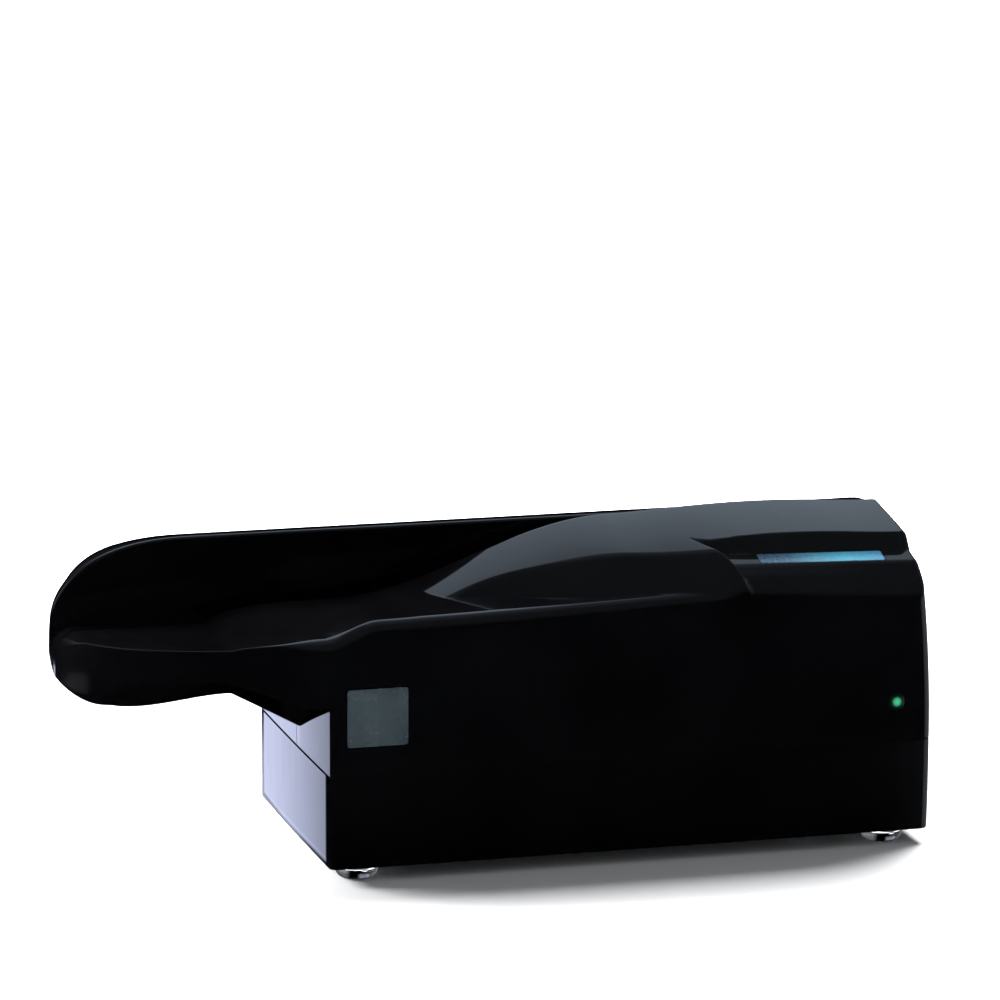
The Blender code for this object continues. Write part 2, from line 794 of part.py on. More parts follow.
def make_front_cover():
    """Front half of the upper housing: front face, hump, hood, ledge and the wing's front."""
    outer = [front_section(x, 0.0, front_half_back, top_low) for x in x_stations()]
    cover = loft("front_cover", bulged(outer), gloss_black())
    inner_back = front_half_back - slot_wall
    inner = [front_section(x, wall, inner_back, top_low - overrun) for x in x_stations(wall, hollow_detail)]
    below_slot = cutter_box("front_below_slot", (wall, inner_back - wall, top_low - overrun),
                            (body_width - wall, slot_front + overrun, shelf_under - fit_gap))
    cut(cover, loft("front_hollow", bulged(inner), inner_black()), below_slot)
    bosses, holes = [], []
    holes.append(cutter_box("badge_recess", (badge_left, -overrun, badge_low),
                          (badge_right, plate_thickness + plate_set_back + fit_gap, badge_high)))
    holes.append(label_block("label_recess", fit_gap, -label_thickness - fit_gap, overrun))
    hole = circle((light_x, light_z), light_radius + running_gap)
    holes.append(prism("light_hole", hole, -overrun, wall + overrun, steel(), "Y"))
    for side, x in (("left", column_left), ("right", column_right)):
        high = column_top(x, column_inset, column_radius, front_top)
        bosses.append(screw_column("front_" + side, x, column_inset, high))
        holes.append(screw_hole("front_" + side, x, column_inset))
    for side, x in stations.items():
        high = column_top(x, drive_y, boss_radius, front_top)
        ring = circle((x, drive_y), boss_radius)
        bosses.append(prism("bearing_boss_" + side, ring, boss_low, high, gloss_black()))
        bore = circle((x, drive_y), shaft_radius + running_gap)
        holes.append(prism("bearing_bore_" + side, bore, boss_low - overrun, shaft_high + fit_gap, steel()))
        half = math.sqrt(drive_radius**2 - (inner_back - drive_y) ** 2) + 2 * fit_gap
        holes.append(slot_window("front_roller_" + side, x - half, x + half, inner_back))
    holes.append(slot_window("head", head_centre - head_width / 2 - arm_travel_room,
                           head_centre + head_width / 2 + 2 * fit_gap, inner_back,
                           head_low - 2 * fit_gap, head_low + head_height + 2 * fit_gap))
    window_left = (scanner_left + scanner_right - window_width) / 2
    holes.append(slot_window("scanner", window_left, window_left + window_width, inner_back,
                           window_low, window_low + window_height))
    high = column_top(arm_pivot_x, arm_pivot_y, arm_hub_radius, front_top)
    ring = circle((arm_pivot_x, arm_pivot_y), arm_hub_radius)
    bosses.append(prism("arm_boss", ring, arm_boss_low, high, gloss_black()))
    pin = circle((arm_pivot_x, arm_pivot_y), arm_pin_radius + running_gap)
    holes.append(prism("arm_bore", pin, arm_boss_low - overrun, high - wall, steel()))
    anchor_y = arm_pivot_y - arm_hub_radius - 2 * fit_gap - spring_thickness
    high = column_top(anchor_left + anchor_width / 2, anchor_y - anchor_depth / 2, anchor_depth, front_top)
    bosses.append(box("spring_anchor", (anchor_left, anchor_y - anchor_depth, head_low),
                    (anchor_left + anchor_width, anchor_y - fit_gap, high), gloss_black()))
    scanner_x = (scanner_left + scanner_right) / 2
    high = column_top(scanner_x, scanner_boss_y, scanner_boss_radius, front_top)
    ring = circle((scanner_x, scanner_boss_y), scanner_boss_radius)
    bosses.append(prism("scanner_boss", ring, scanner_high + fit_gap, high, gloss_black()))
    bosses.append(box("magnet_shelf", (magnet_left, inner_back - magnet_depth - fit_gap,
                                     magnet_low - fit_gap - magnet_tray),
                    (magnet_left + magnet_width, inner_back + slot_wall / 2, magnet_low - fit_gap),
                    gloss_black()))
    hole = circle((sensor_x, sensor_z), sensor_radius + running_gap)
    holes.append(prism("emitter_hole", hole, inner_back - overrun, slot_front + overrun, steel(), "Y"))
    for side in (-1, 1):
        rib_x = light_x + side * (lamp_board_side / 2 + fit_gap + lamp_rib / 2)
        bosses.append(box("lamp_rib_" + ("left" if side < 0 else "right"),
                        (rib_x - lamp_rib / 2, wall / 2, light_z - lamp_board_side / 2),
                        (rib_x + lamp_rib / 2, lamp_board_front() + lamp_board_thickness,
                         light_z + lamp_board_side / 2), gloss_black()))
    join(cover, *bosses)
    cut(cover, *holes)
    return cover


def lamp_board_front():
    """How far behind the front face the indicator's little board stands."""
    return light_length + fit_gap + lamp_length


def slot_window(name, left, right, wall_front, low=None, high=None):
    """A cutter through a slot wall."""
    low = tyre_low - 2 * fit_gap if low is None else low
    high = tyre_low + tyre_height + 2 * fit_gap if high is None else high
    reach = slot_wall / 2
    return cutter_box(name + "_window_cut", (left, wall_front - reach, low),
                      (right, wall_front + slot_wall + reach, high))


def screw_column(name, x, y, high):
    """A column that a case screw goes up into."""
    ring = circle((x, y), column_radius, boss_segments)
    return prism(name + "_column", ring, top_low + seam_gap, high, gloss_black())


def screw_hole(name, x, y):
    ring = circle((x, y), screw_radius + running_gap, boss_segments)
    return prism(name + "_hole", ring, top_low - overrun, screw_top() + fit_gap, steel())


def screw_top():
    return foot_recess + screw_head_height + screw_length


def make_rear_cover():
    """Rear half of the upper housing: shelf, rear slot wall, roof, back and the wing's rear."""
    outer = [rear_section(x, 0.0, rear_half_front, slot_back, top_low) for x in x_stations()]
    cover = loft("rear_cover", bulged(outer), gloss_black())
    inner_wall = slot_back + slot_wall
    hollow = []
    for x in x_stations(wall, hollow_detail):
        hollow.append(rear_section(x, wall, inner_wall, inner_wall + 2 * jump, top_low - overrun))
    below_shelf = cutter_box("rear_below_shelf", (wall, rear_half_front - overrun, top_low - overrun),
                             (body_width - wall, inner_wall + wall, shelf_under))
    cut(cover, loft("rear_hollow", bulged(hollow), inner_black()), below_shelf)
    bosses, holes = [], []
    for side, x in (("left", column_left), ("right", column_right)):
        y = body_depth - column_inset
        high = column_top(x, y, column_radius, rear_roof)
        bosses.append(screw_column("rear_" + side, x, y, high))
        holes.append(screw_hole("rear_" + side, x, y))
    for side, x in stations.items():
        half = math.sqrt(pinch_radius**2 - (pinch_y - inner_wall) ** 2) + 2 * fit_gap
        holes.append(slot_window("rear_roller_" + side, x - half, x + half, slot_back))
    hole = circle((sensor_x, sensor_z), sensor_radius + running_gap)
    holes.append(prism("detector_hole", hole, slot_back - overrun, inner_wall + overrun, steel(), "Y"))
    join(cover, *bosses)
    cut(cover, *holes)
    return cover


def tray_outline(inset, level):
    """Plan of the base tray with rounded corners and a bulged right end."""
    radius = max(corner_radius - inset / 2, corner_radius / 3)
    points = []
    for cx, cy, start in ((inset, inset, 180), (body_width - inset, inset, 270),
                          (body_width - inset, body_depth - inset, 0), (inset, body_depth - inset, 90)):
        mid_x = cx + (radius if cx < body_width / 2 else -radius)
        mid_y = cy + (radius if cy < body_depth / 2 else -radius)
        for angle in np.radians(np.linspace(start, start + 90, 5)):
            points.append((mid_x + radius * math.cos(angle), mid_y + radius * math.sin(angle), level))
    return np.array(points)


def make_base_tray():
    """Lower housing: floor, rim, pillars for the chassis, columns and posts."""
    high = seam_height - seam_gap / 2
    bevel = corner_radius / 2
    rings = [tray_outline(bevel, 0.0), tray_outline(bevel / 4, bevel / 3), tray_outline(0.0, bevel)]
    rings += [tray_outline(0.0, level) for level in np.linspace(0, high, 4)[1:]]
    tray = loft("base_tray", bulged(rings), gloss_black())
    inner = [tray_outline(wall, level) for level in (wall, high / 2, high + overrun)]
    cut(tray, loft("tray_hollow", bulged(inner), inner_black()))
    bosses, holes = [], []
    for side, x in (("left", pillar_left), ("right", pillar_right)):
        for end, y in (("front", pillar_front), ("back", pillar_back)):
            ring = circle((x, y), pillar_radius, boss_segments)
            bosses.append(prism("pillar_%s_%s" % (side, end), ring, wall / 2,
                             chassis_low - fit_gap, gloss_black()))
    seat = foot_recess + screw_head_height + fit_gap
    stepped = ((screw_head_radius + screw_clearance, -overrun),
               (screw_head_radius + screw_clearance, seat),
               (screw_radius + screw_clearance, seat),
               (screw_radius + screw_clearance, high + overrun))
    for name, x, y in column_places():
        ring = circle((x, y), column_radius, boss_segments)
        bosses.append(prism("tray_column_" + name, ring, wall / 2, high, gloss_black()))
        holes.append(turned("tray_hole_" + name, (x, y), stepped, steel(), boss_segments))
    for name, x, y in board_posts():
        ring = circle((x, y), board_post_radius, boss_segments)
        bosses.append(prism("board_post_" + name, ring, wall / 2, board_low - fit_gap, gloss_black()))
    opening = cutter_box("usb_opening", (usb_left - fit_gap, body_depth - wall - overrun, usb_low() - fit_gap),
                         (usb_left + usb_width + fit_gap, body_depth + overrun,
                          usb_low() + usb_height + fit_gap))
    holes.append(opening)
    for name, x, y in foot_places():
        ring = circle((x, y), foot_radius + fit_gap)
        holes.append(prism("recess_" + name, ring, -overrun, foot_recess, steel()))
    join(tray, *bosses)
    cut(tray, *holes)
    return tray


def board_posts():
    """The main board's four posts."""
    for side, x in (("left", board_left + board_post_inset), ("right", board_right - board_post_inset)):
        for end, y in (("front", board_front + board_post_inset), ("back", board_back - board_post_inset)):
            yield "%s_%s" % (side, end), x, y


def column_places():
    """The four columns that the case screws go through."""
    for side, x in (("left", column_left), ("right", column_right)):
        for end, y in (("front", column_inset), ("back", body_depth - column_inset)):
            yield "%s_%s" % (side, end), x, y


def foot_places():
    """The four feet, named by corner."""
    for side, x in (("left", foot_inset_x), ("right", body_width - foot_inset_x)):
        for end, y in (("front", foot_inset_y), ("rear", body_depth - foot_inset_y)):
            yield "%s_%s_foot" % (end, side), x, y


def usb_low():
    return board_low + board_thickness + fit_gap


def make_feet():
    """Clear self-adhesive domes, flat where they stand."""
    for name, x, y in foot_places():
        seat = foot_recess - fit_gap
        profile = ((foot_radius, seat), (foot_radius, -0.25 * foot_height), (0.93 * foot_radius, -0.55 * foot_height),
                   (0.78 * foot_radius, -0.85 * foot_height), (0.6 * foot_radius, -foot_height))
        turned(name, (x, y), profile, clear_rubber())


def make_screws():
    """Case screws, driven up from below through the tray into the covers' columns."""
    for side, x in (("left", column_left), ("right", column_right)):
        for end, y in (("front", column_inset), ("rear", body_depth - column_inset)):
            head = foot_recess + screw_head_height
            profile = ((screw_head_radius, foot_recess), (screw_head_radius, head),
                       (screw_radius, head), (screw_radius, screw_top() - screw_radius),
                       (0.3 * screw_radius, screw_top()))
            screw = turned("case_screw_%s_%s" % (end, side), (x, y), profile, steel(), boss_segments)
            deep = foot_recess + 0.5 * screw_head_height
            arms = (drive_arm_share * screw_head_radius, drive_slot_share * screw_head_radius)
            slots = []
            for reach_x, reach_y in (arms, arms[::-1]):
                slots.append(cutter_box("drive_slot", (x - reach_x, y - reach_y, -overrun),
                                        (x + reach_x, y + reach_y, deep)))
            cut(screw, *slots)


def make_chassis():
    """The plate that carries the drive: bushed holes, pinch posts and the middle gear's seat."""
    plate = box("chassis_plate", (chassis_left, chassis_front, chassis_low),
                (chassis_right, chassis_back, chassis_high), inner_black())
    bosses, holes = [], []
    for side, x in stations.items():
        ring = circle((x, drive_y), bush_radius + running_gap)
        holes.append(prism("bush_hole_" + side, ring, chassis_low - overrun, chassis_high + overrun, steel()))
        pivot = (x - pinch_arm_reach, pinch_pivot_y)
        ring = circle(pivot, pinch_post_radius, boss_segments)
        bosses.append(prism("pinch_post_" + side, ring, chassis_low + chassis_thickness / 2,
                          pinch_arm_low - fit_gap, inner_black()))
        pin = circle(pivot, pinch_pin_radius + running_gap)
        holes.append(prism("pinch_pin_hole_" + side, pin, chassis_low + chassis_thickness / 2,
                         pinch_arm_low + overrun, steel()))
        post, slit = spring_post(side, x)
        bosses.append(post)
        holes.append(slit)
    for name, x, y in column_places():
        ring = circle((x, y), column_radius + fit_gap, boss_segments)
        holes.append(prism("column_clearance_" + name, ring, chassis_low - overrun,
                           chassis_high + overrun, steel()))
    shaft = circle((motor_x, motor_y), hub_radius)
    holes.append(prism("motor_hole", shaft, chassis_low - overrun, chassis_high + overrun, steel()))
    pin = circle((middle_x, drive_y), shaft_radius + running_gap)
    holes.append(prism("middle_pin_hole", pin, chassis_low - overrun, chassis_high + overrun, steel()))
    join(plate, *bosses)
    cut(plate, *holes)
    return plate


def spring_line():
    """The pinch spring's near face, just behind the end of its arm."""
    return pinch_y + pinch_arm_end + fit_gap


def spring_post(side, x):
    """A post that holds the fixed end of a pinch spring, and the cutter of its slit."""
    low_x = x + spring_post_reach
    near = spring_line() - (spring_post_slit - spring_thickness) / 2
    post = box("spring_post_" + side,
               (low_x, near - spring_post_lip, chassis_low + chassis_thickness / 2),
               (low_x + spring_post_width, near + spring_post_slit + spring_post_lip,
                pinch_arm_low + pinch_arm_height + fit_gap), inner_black())
    slit = cutter_box("spring_slit_" + side, (low_x - overrun, near, pinch_arm_low - fit_gap),
                      (low_x + spring_post_width / 2, near + spring_post_slit,
                       pinch_arm_low + pinch_arm_height + overrun))
    return post, slit


def gear_outline(centre, teeth, turn):
    """Involute teeth of 20 degrees, thinned by the backlash, first tooth at the turn angle."""
    pitch = module * teeth / 2
    base = pitch * math.cos(math.radians(20))
    tip, root = pitch + 0.9 * module, pitch - 1.15 * module
    half_tooth = math.pi / (2 * teeth) - backlash / (2 * pitch)
    spread = math.tan(math.radians(20)) - math.radians(20)
    radii = np.array((root, (root + tip) / 2, tip))
    pressure = np.arccos(np.clip(base / radii, -1, 1))
    half = half_tooth + spread - (np.tan(pressure) - pressure)
    points = []
    for tooth in range(teeth):
        middle = turn + tooth * 2 * math.pi / teeth
        points += [(r, middle - h) for r, h in zip(radii, half)]
        points += [(r, middle + h) for r, h in zip(radii[::-1], half[::-1])]
    points = np.array(points)
    return np.column_stack([centre[0] + points[:, 0] * np.cos(points[:, 1]),
                            centre[1] + points[:, 0] * np.sin(points[:, 1])])


def make_gear(name, centre, teeth, turn, bore, finish):
    """A spur gear with a plain bore, its origin on its own axis."""
    pivot = (*centre, gear_low)
    outline = gear_outline(centre, teeth, turn)
    gear = prism(name, outline, gear_low, gear_low + gear_height, finish, pivot=pivot)
    ring = circle(centre, bore)
    cut(gear, prism(name + "_bore", ring, gear_low - overrun, gear_low + gear_height + overrun, steel()))
    return gear


def make_drive():
    """Motor, pinion, middle gear and the two driven rollers with their shafts."""
    middle = (middle_x, drive_y)
    half_pitch = math.pi / roller_teeth
    for side, x in stations.items():
        centre = (x, drive_y)
        pivot = (*centre, shaft_low)
        ring = circle(centre, shaft_radius)
        prism("drive_shaft_" + side, ring, shaft_low, shaft_high, steel(), pivot=pivot)
        turn = half_pitch if side == "left" else math.pi + half_pitch
        make_gear("drive_gear_" + side, centre, roller_teeth, turn, shaft_radius + running_gap, white_nylon())
        sleeve("roller_core_" + side, centre, core_radius, shaft_radius + running_gap, tyre_low,
               tyre_low + tyre_height, white_nylon(), pivot)
        sleeve("roller_tyre_" + side, centre, drive_radius, core_radius + running_gap, tyre_low,
               tyre_low + tyre_height, grey_rubber(), pivot)
        sleeve("shaft_bush_" + side, centre, bush_radius, shaft_radius + running_gap,
               chassis_low - fit_gap, chassis_high + fit_gap, bronze(), None,
               (bush_flange, bush_flange_height))
    make_gear("middle_gear", middle, middle_teeth, 0.0, shaft_radius + running_gap, white_nylon())
    pin = circle(middle, shaft_radius)
    prism("middle_gear_pin", pin, chassis_low, gear_low + gear_height + fit_gap, steel())
    make_motor()


def make_motor():
    """A small can motor under the plate, its pinion in mesh with the right roller's gear."""
    centre = (motor_x, motor_y)
    high = chassis_low - fit_gap
    low = high - motor_height
    profile = ((0.35 * motor_radius, low), (0.35 * motor_radius, low + 0.04 * motor_height),
               (0.9 * motor_radius, low + 0.04 * motor_height), (motor_radius, low + 0.1 * motor_height),
               (motor_radius, high - 0.04 * motor_height), (0.95 * motor_radius, high))
    can = turned("motor_can", centre, profile, steel(), big_segments)
    well = circle(centre, motor_shaft_radius + running_gap)
    cut(can, prism("motor_well", well, high - 0.3 * motor_height, high + overrun, steel()))
    to_pinion = math.atan2(motor_y - drive_y, motor_x - right_station)
    pitch = 2 * math.pi / roller_teeth
    first = math.pi + math.pi / roller_teeth
    ahead = (to_pinion - first) / pitch
    share = ahead - math.floor(ahead)
    turn = to_pinion + math.pi + (0.5 + share) * 2 * math.pi / pinion_teeth
    outline = gear_outline(centre, pinion_teeth, turn)
    pinion = prism("motor_pinion", outline, gear_low, gear_low + gear_height, bronze(), pivot=(*centre, gear_low))
    stem = circle(centre, motor_shaft_radius)
    join(pinion, prism("motor_stem", stem, high - 0.3 * motor_height + fit_gap, gear_low + gear_height / 2, steel()))


def make_pinch():
    """Sprung arms behind the slot, each with a free roller that presses the paper."""
    for side, x in stations.items():
        axle = (x, pinch_y)
        pivot = (x - pinch_arm_reach, pinch_pivot_y)
        angle = math.atan2(axle[1] - pivot[1], axle[0] - pivot[0])
        hub = circle(pivot, pinch_hub_radius)
        high = pinch_arm_low + pinch_arm_height
        origin = (*pivot, pinch_arm_low)
        arm = prism("pinch_arm_" + side, hub, pinch_arm_low, high, white_nylon(), pivot=origin)
        turns = np.radians(np.linspace(-90, 90, 7)) + angle
        nose = [(axle[0] + pinch_arm_end * math.cos(a), axle[1] + pinch_arm_end * math.sin(a)) for a in turns]
        across = (math.cos(angle + math.pi / 2), math.sin(angle + math.pi / 2))
        root = 0.8 * pinch_hub_radius
        base = [(pivot[0] + s * root * across[0], pivot[1] + s * root * across[1]) for s in (1, -1)]
        web = prism("pinch_web_" + side, nose + base, pinch_arm_low, high, white_nylon())
        stub = prism("pinch_stub_" + side, circle(axle, shaft_radius),
                     pinch_arm_low + pinch_arm_height / 2, tyre_low + tyre_height + fit_gap, white_nylon())
        join(arm, web, stub)
        hole = circle(pivot, pinch_pin_radius + running_gap)
        cut(arm, prism("pinch_bore_" + side, hole, pinch_arm_low - overrun, high + overrun, steel()))
        sleeve("pinch_roller_" + side, axle, pinch_radius, shaft_radius + running_gap, tyre_low,
               tyre_low + tyre_height, grey_rubber(), (*axle, tyre_low))
        low = chassis_low + chassis_thickness / 2 + fit_gap
        profile = ((pinch_pin_radius, low), (pinch_pin_radius, high + fit_gap),
                   (1.6 * pinch_pin_radius, high + fit_gap), (1.6 * pinch_pin_radius, high + 3 * fit_gap))
        turned("pinch_pivot_" + side, pivot, profile, steel())
        near = spring_line()
        box("pinch_spring_" + side, (x, near, pinch_arm_low),
            (x + spring_post_reach + spring_post_width / 2 - fit_gap, near + spring_thickness,
             pinch_arm_low + pinch_arm_height), spring_steel())


def make_head():
    """The magnetic head on its sprung arm, and the felt pad that it presses the paper to."""
    left, right = head_centre - head_width / 2, head_centre + head_width / 2
    face = paper_line - fit_gap / 2
    reach = math.asin(head_width / 2 / head_nose_radius)
    nose = [(head_centre + head_nose_radius * math.sin(a), face - head_nose_radius + head_nose_radius * math.cos(a))
            for a in np.linspace(reach, -reach, 11)]
    outline = [(left, head_back), (right, head_back)] + nose
    pivot = (arm_pivot_x, arm_pivot_y, head_low)
    prism("read_head", outline, head_low, head_low + head_height, steel(), pivot=pivot)
    hub = circle((arm_pivot_x, arm_pivot_y), arm_hub_radius)
    arm = prism("head_arm", hub, head_low, head_low + head_height, inner_black(), pivot=pivot)
    back = head_back - fit_gap
    join(arm, box("head_bar", (left, back - arm_thickness, head_low),
                  (arm_pivot_x, back, head_low + head_height), inner_black()))
    hole = circle((arm_pivot_x, arm_pivot_y), arm_pin_radius + running_gap)
    cut(arm, prism("head_arm_bore", hole, head_low - overrun, head_low + head_height + overrun, steel()))
    low = head_low - fit_gap
    high = column_top(arm_pivot_x, arm_pivot_y, arm_hub_radius, front_top) - wall - fit_gap
    profile = ((arm_pin_head, low - arm_pin_head_height), (arm_pin_head, low),
               (arm_pin_radius, low), (arm_pin_radius, high))
    turned("head_pivot", (arm_pivot_x, arm_pivot_y), profile, steel())
    far = arm_pivot_y - arm_hub_radius - fit_gap
    box("head_spring", (head_centre, far - fit_gap - spring_thickness, head_low + head_height / 4),
        (anchor_left + anchor_width, far - fit_gap, head_low + 3 * head_height / 4), spring_steel())
    box("pressure_pad", (head_centre - pad_width / 2, slot_back - fit_gap - pad_thickness, head_low),
        (head_centre + pad_width / 2, slot_back - fit_gap, head_low + head_height), felt_grey())


def make_readers():
    """Bar code module and its window, the magnet that charges the ink, and paper sensors."""
    inner_back = front_half_back - slot_wall
    module_box = box("scanner_module", (scanner_left, scanner_front, scanner_low),
                     (scanner_right, inner_back - fit_gap, scanner_high), chip_black())
    middle = (scanner_left + scanner_right) / 2
    inset = window_thickness / 2
    cut(module_box, cutter_box("scanner_throat",
                               (middle - window_width / 2 + inset, inner_back - fit_gap - 4 * window_thickness,
                                window_low + inset),
                               (middle + window_width / 2 - inset, inner_back + overrun,
                                window_low + window_height - inset)))
    box("scanner_window", (middle - window_width / 2 + fit_gap, inner_back + fit_gap, window_low + fit_gap),
        (middle + window_width / 2 - fit_gap, inner_back + fit_gap + window_thickness,
         window_low + window_height - fit_gap), clear_acrylic())
    box("charge_magnet", (magnet_left, inner_back - fit_gap - magnet_depth, magnet_low),
        (magnet_left + magnet_width, inner_back - fit_gap, magnet_low + magnet_height), steel())
    for name, start, way in (("paper_emitter", front_half_back - sensor_set_back, -1),
                             ("paper_detector", slot_back + sensor_set_back, 1)):
        ends = sorted((start, start + way * sensor_length))
        ring = circle((sensor_x, sensor_z), sensor_radius, boss_segments)
        prism(name, ring, ends[0], ends[1], clear_acrylic(), "Y")


def make_electronics():
    """Main board with its chips, the USB socket at the back, the ribbon and the status light."""
    high = board_low + board_thickness
    box("main_board", (board_left, board_front, board_low), (board_right, board_back, high), board_green())
    seat = high + fit_gap
    box("controller_chip", (chip_x - chip_side / 2, chip_y - chip_side / 2, seat),
        (chip_x + chip_side / 2, chip_y + chip_side / 2, seat + chip_height), chip_black())
    profile = ((0.9 * capacitor_radius, seat), (capacitor_radius, seat + 0.1 * capacitor_radius),
               (capacitor_radius, seat + capacitor_height - 0.1 * capacitor_radius),
               (0.9 * capacitor_radius, seat + capacitor_height))
    turned("capacitor", (capacitor_x, capacitor_y), profile, chip_black())
    middle = (scanner_left + scanner_right) / 2
    box("ribbon_header", (middle - header_width / 2, header_y - header_depth / 2, seat),
        (middle + header_width / 2, header_y + header_depth / 2, seat + header_height), white_nylon())
    make_usb_socket()
    make_ribbon(middle, seat)
    make_status_light()


def make_usb_socket():
    """A square type B socket with its tongue, reaching the opening in the tray's back."""
    back = body_depth - fit_gap
    low, left = usb_low(), usb_left
    socket = box("usb_socket", (left, back - usb_depth, low), (left + usb_width, back, low + usb_height), steel())
    cut(socket, cutter_box("usb_mouth", (left + usb_wall * 2, back - usb_mouth_depth, low + usb_wall * 2),
                           (left + usb_width - usb_wall * 2, back + overrun, low + usb_height - usb_wall * 2)))
    middle_x_here = left + usb_width / 2
    middle_z = low + usb_height / 2
    join(socket, box("usb_tongue", (middle_x_here - usb_tongue_width / 2, back - usb_mouth_depth - usb_wall,
                                    middle_z - usb_tongue_height / 2),
                     (middle_x_here + usb_tongue_width / 2, back - usb_mouth_depth + usb_tongue_reach,
                      middle_z + usb_tongue_height / 2), white_nylon()))


def make_ribbon(middle, seat):
    """A flat cable from the scanner's front, down before the chassis, into its header."""
    face = scanner_front - fit_gap
    down = face - ribbon_run + ribbon_bend
    start_z = (scanner_low + scanner_high) / 2
    end_z = seat + header_height + fit_gap
    quarter = np.radians(np.linspace(0, 90, 5))
    line = [(face, start_z)]
    line += [(down - ribbon_bend * math.sin(a), start_z - ribbon_bend * (1 - math.cos(a))) for a in quarter]
    low_z = end_z + 2 * ribbon_bend
    line += [(down - ribbon_bend * math.cos(a), low_z - ribbon_bend * math.sin(a)) for a in quarter]
    line += [(header_y - ribbon_bend + ribbon_bend * math.sin(a), end_z + ribbon_bend * math.cos(a)) for a in quarter]
    line = np.array(line)
    steps = np.gradient(line, axis=0)
    across = np.column_stack([-steps[:, 1], steps[:, 0]])
    across /= np.linalg.norm(across, axis=1)[:, None]
    outline = np.concatenate([line + across * ribbon_thickness / 2, (line - across * ribbon_thickness / 2)[::-1]])
    prism("ribbon_cable", outline, middle - ribbon_width / 2, middle + ribbon_width / 2, white_nylon(), "X")


def make_status_light():
    """A round light pipe in the front face, with its lamp on a small board behind."""
    ring = circle((light_x, light_z), light_radius)
    pipe = prism("status_light", ring, plate_set_back, light_length, green_acrylic(), "Y")
    collar = circle((light_x, light_z), light_flange)
    join(pipe, prism("status_collar", collar, wall + fit_gap, light_length - fit_gap, green_acrylic(), "Y"))
    front = lamp_board_front()
    lamp = circle((light_x, light_z), lamp_radius, boss_segments)
    prism("status_lamp", lamp, light_length + fit_gap, front - running_gap, clear_acrylic(), "Y")
    half = lamp_board_side / 2
    box("lamp_board", (light_x - half, front, light_z - half),
        (light_x + half, front + lamp_board_thickness, light_z + half), board_green())


def label_block(name, grow, low, high):
    """A sheet that lies along the sloping ledge, between two heights above its plane."""
    slope = math.atan(ledge_slope)
    normal = (-math.sin(slope), math.cos(slope))
    outline = []
    for y, level in ((label_front - grow, low), (label_back + grow, low), (label_back + grow, high),
                     (label_front - grow, high)):
        z = ledge_height - (ledge_back - y) * ledge_slope
        outline.append((y + normal[0] * level, z + normal[1] * level))
    return prism(name, outline, label_left - grow, label_right + grow, label_blue(), "X")


def make_plates():
    """The plain badge on the front face and the blue label on the ledge."""
    box("badge_plate", (badge_left + fit_gap, plate_set_back, badge_low + fit_gap),
        (badge_right - fit_gap, plate_set_back + plate_thickness, badge_high - fit_gap), badge_grey())
    label_block("accent_label", 0.0, -label_thickness, 0.0)


def main():
    clear_scene()
    make_base_tray()
    make_front_cover()
    make_rear_cover()
    make_feet()
    make_screws()
    make_chassis()
    make_drive()
    make_pinch()
    make_head()
    make_readers()
    make_electronics()
    make_plates()


main()
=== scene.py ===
# %% [markdown]
# A small counter-top cheque reader in gloss black plastic: a body with a slot along it, and a
# wing at its left that guides what is fed in. The packed CAD model is loaded first and stays
# fixed. Everything below dresses it, with finer surfaces for the parts that show and a finish
# for every part, seen or not.

# %% Load the frame
import math

import bpy
import numpy as np
from mathutils import Matrix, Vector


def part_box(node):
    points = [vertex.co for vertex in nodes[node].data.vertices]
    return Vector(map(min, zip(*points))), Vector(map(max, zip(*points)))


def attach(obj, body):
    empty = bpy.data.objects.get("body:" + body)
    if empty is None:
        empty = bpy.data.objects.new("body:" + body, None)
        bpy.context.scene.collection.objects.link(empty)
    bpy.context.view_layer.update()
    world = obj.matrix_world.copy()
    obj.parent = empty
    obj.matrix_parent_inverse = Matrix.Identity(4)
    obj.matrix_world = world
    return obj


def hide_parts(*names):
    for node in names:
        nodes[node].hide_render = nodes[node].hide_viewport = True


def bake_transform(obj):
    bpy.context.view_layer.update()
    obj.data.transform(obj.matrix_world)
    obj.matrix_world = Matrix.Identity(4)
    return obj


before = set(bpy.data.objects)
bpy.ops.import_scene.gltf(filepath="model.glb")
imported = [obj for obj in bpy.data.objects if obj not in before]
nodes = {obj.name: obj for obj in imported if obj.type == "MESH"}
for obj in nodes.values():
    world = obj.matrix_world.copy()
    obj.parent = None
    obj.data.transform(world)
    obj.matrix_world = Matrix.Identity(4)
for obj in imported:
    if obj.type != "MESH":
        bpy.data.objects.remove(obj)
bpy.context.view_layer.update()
print("parts in the frame:", len(nodes))

# %% [markdown]
# The real housing is moulded in three parts that share their sizes. They could be typed
# wherever they are used, but then one change would mean many. So they are written once, in
# metres, in the housing's own frame: X along the slot, Y from the front face to the back, Z up
# from the lower edge of the tray. Sizes of one form alone come with that form, further down.

# %% Sizes that all parts share
body_width, body_depth = 0.128, 0.062
seam_height, shelf_height = 0.01965, 0.047
wall, seam_gap, fit_gap = 0.0022, 0.0003, 0.0003
corner_radius, end_bulge = 0.0016, 0.0015
slot_front, slot_gap, slot_wall = 0.028, 0.0052, 0.002
wing_reach, cad_nose, foot_height = 0.0509, 0.05092, 0.003
jump, overrun = 0.00005, 0.002
slot_back = slot_front + slot_gap
front_half_back, rear_half_front = slot_front - seam_gap / 2, slot_front + seam_gap / 2
top_low = seam_height + seam_gap / 2
centre_x, centre_y = (body_width + end_bulge - cad_nose) / 2, body_depth / 2
shift = np.array((-centre_x, -centre_y, foot_height))
print("the housing's corner stands at", np.round(shift * 1000, 2), "mm")


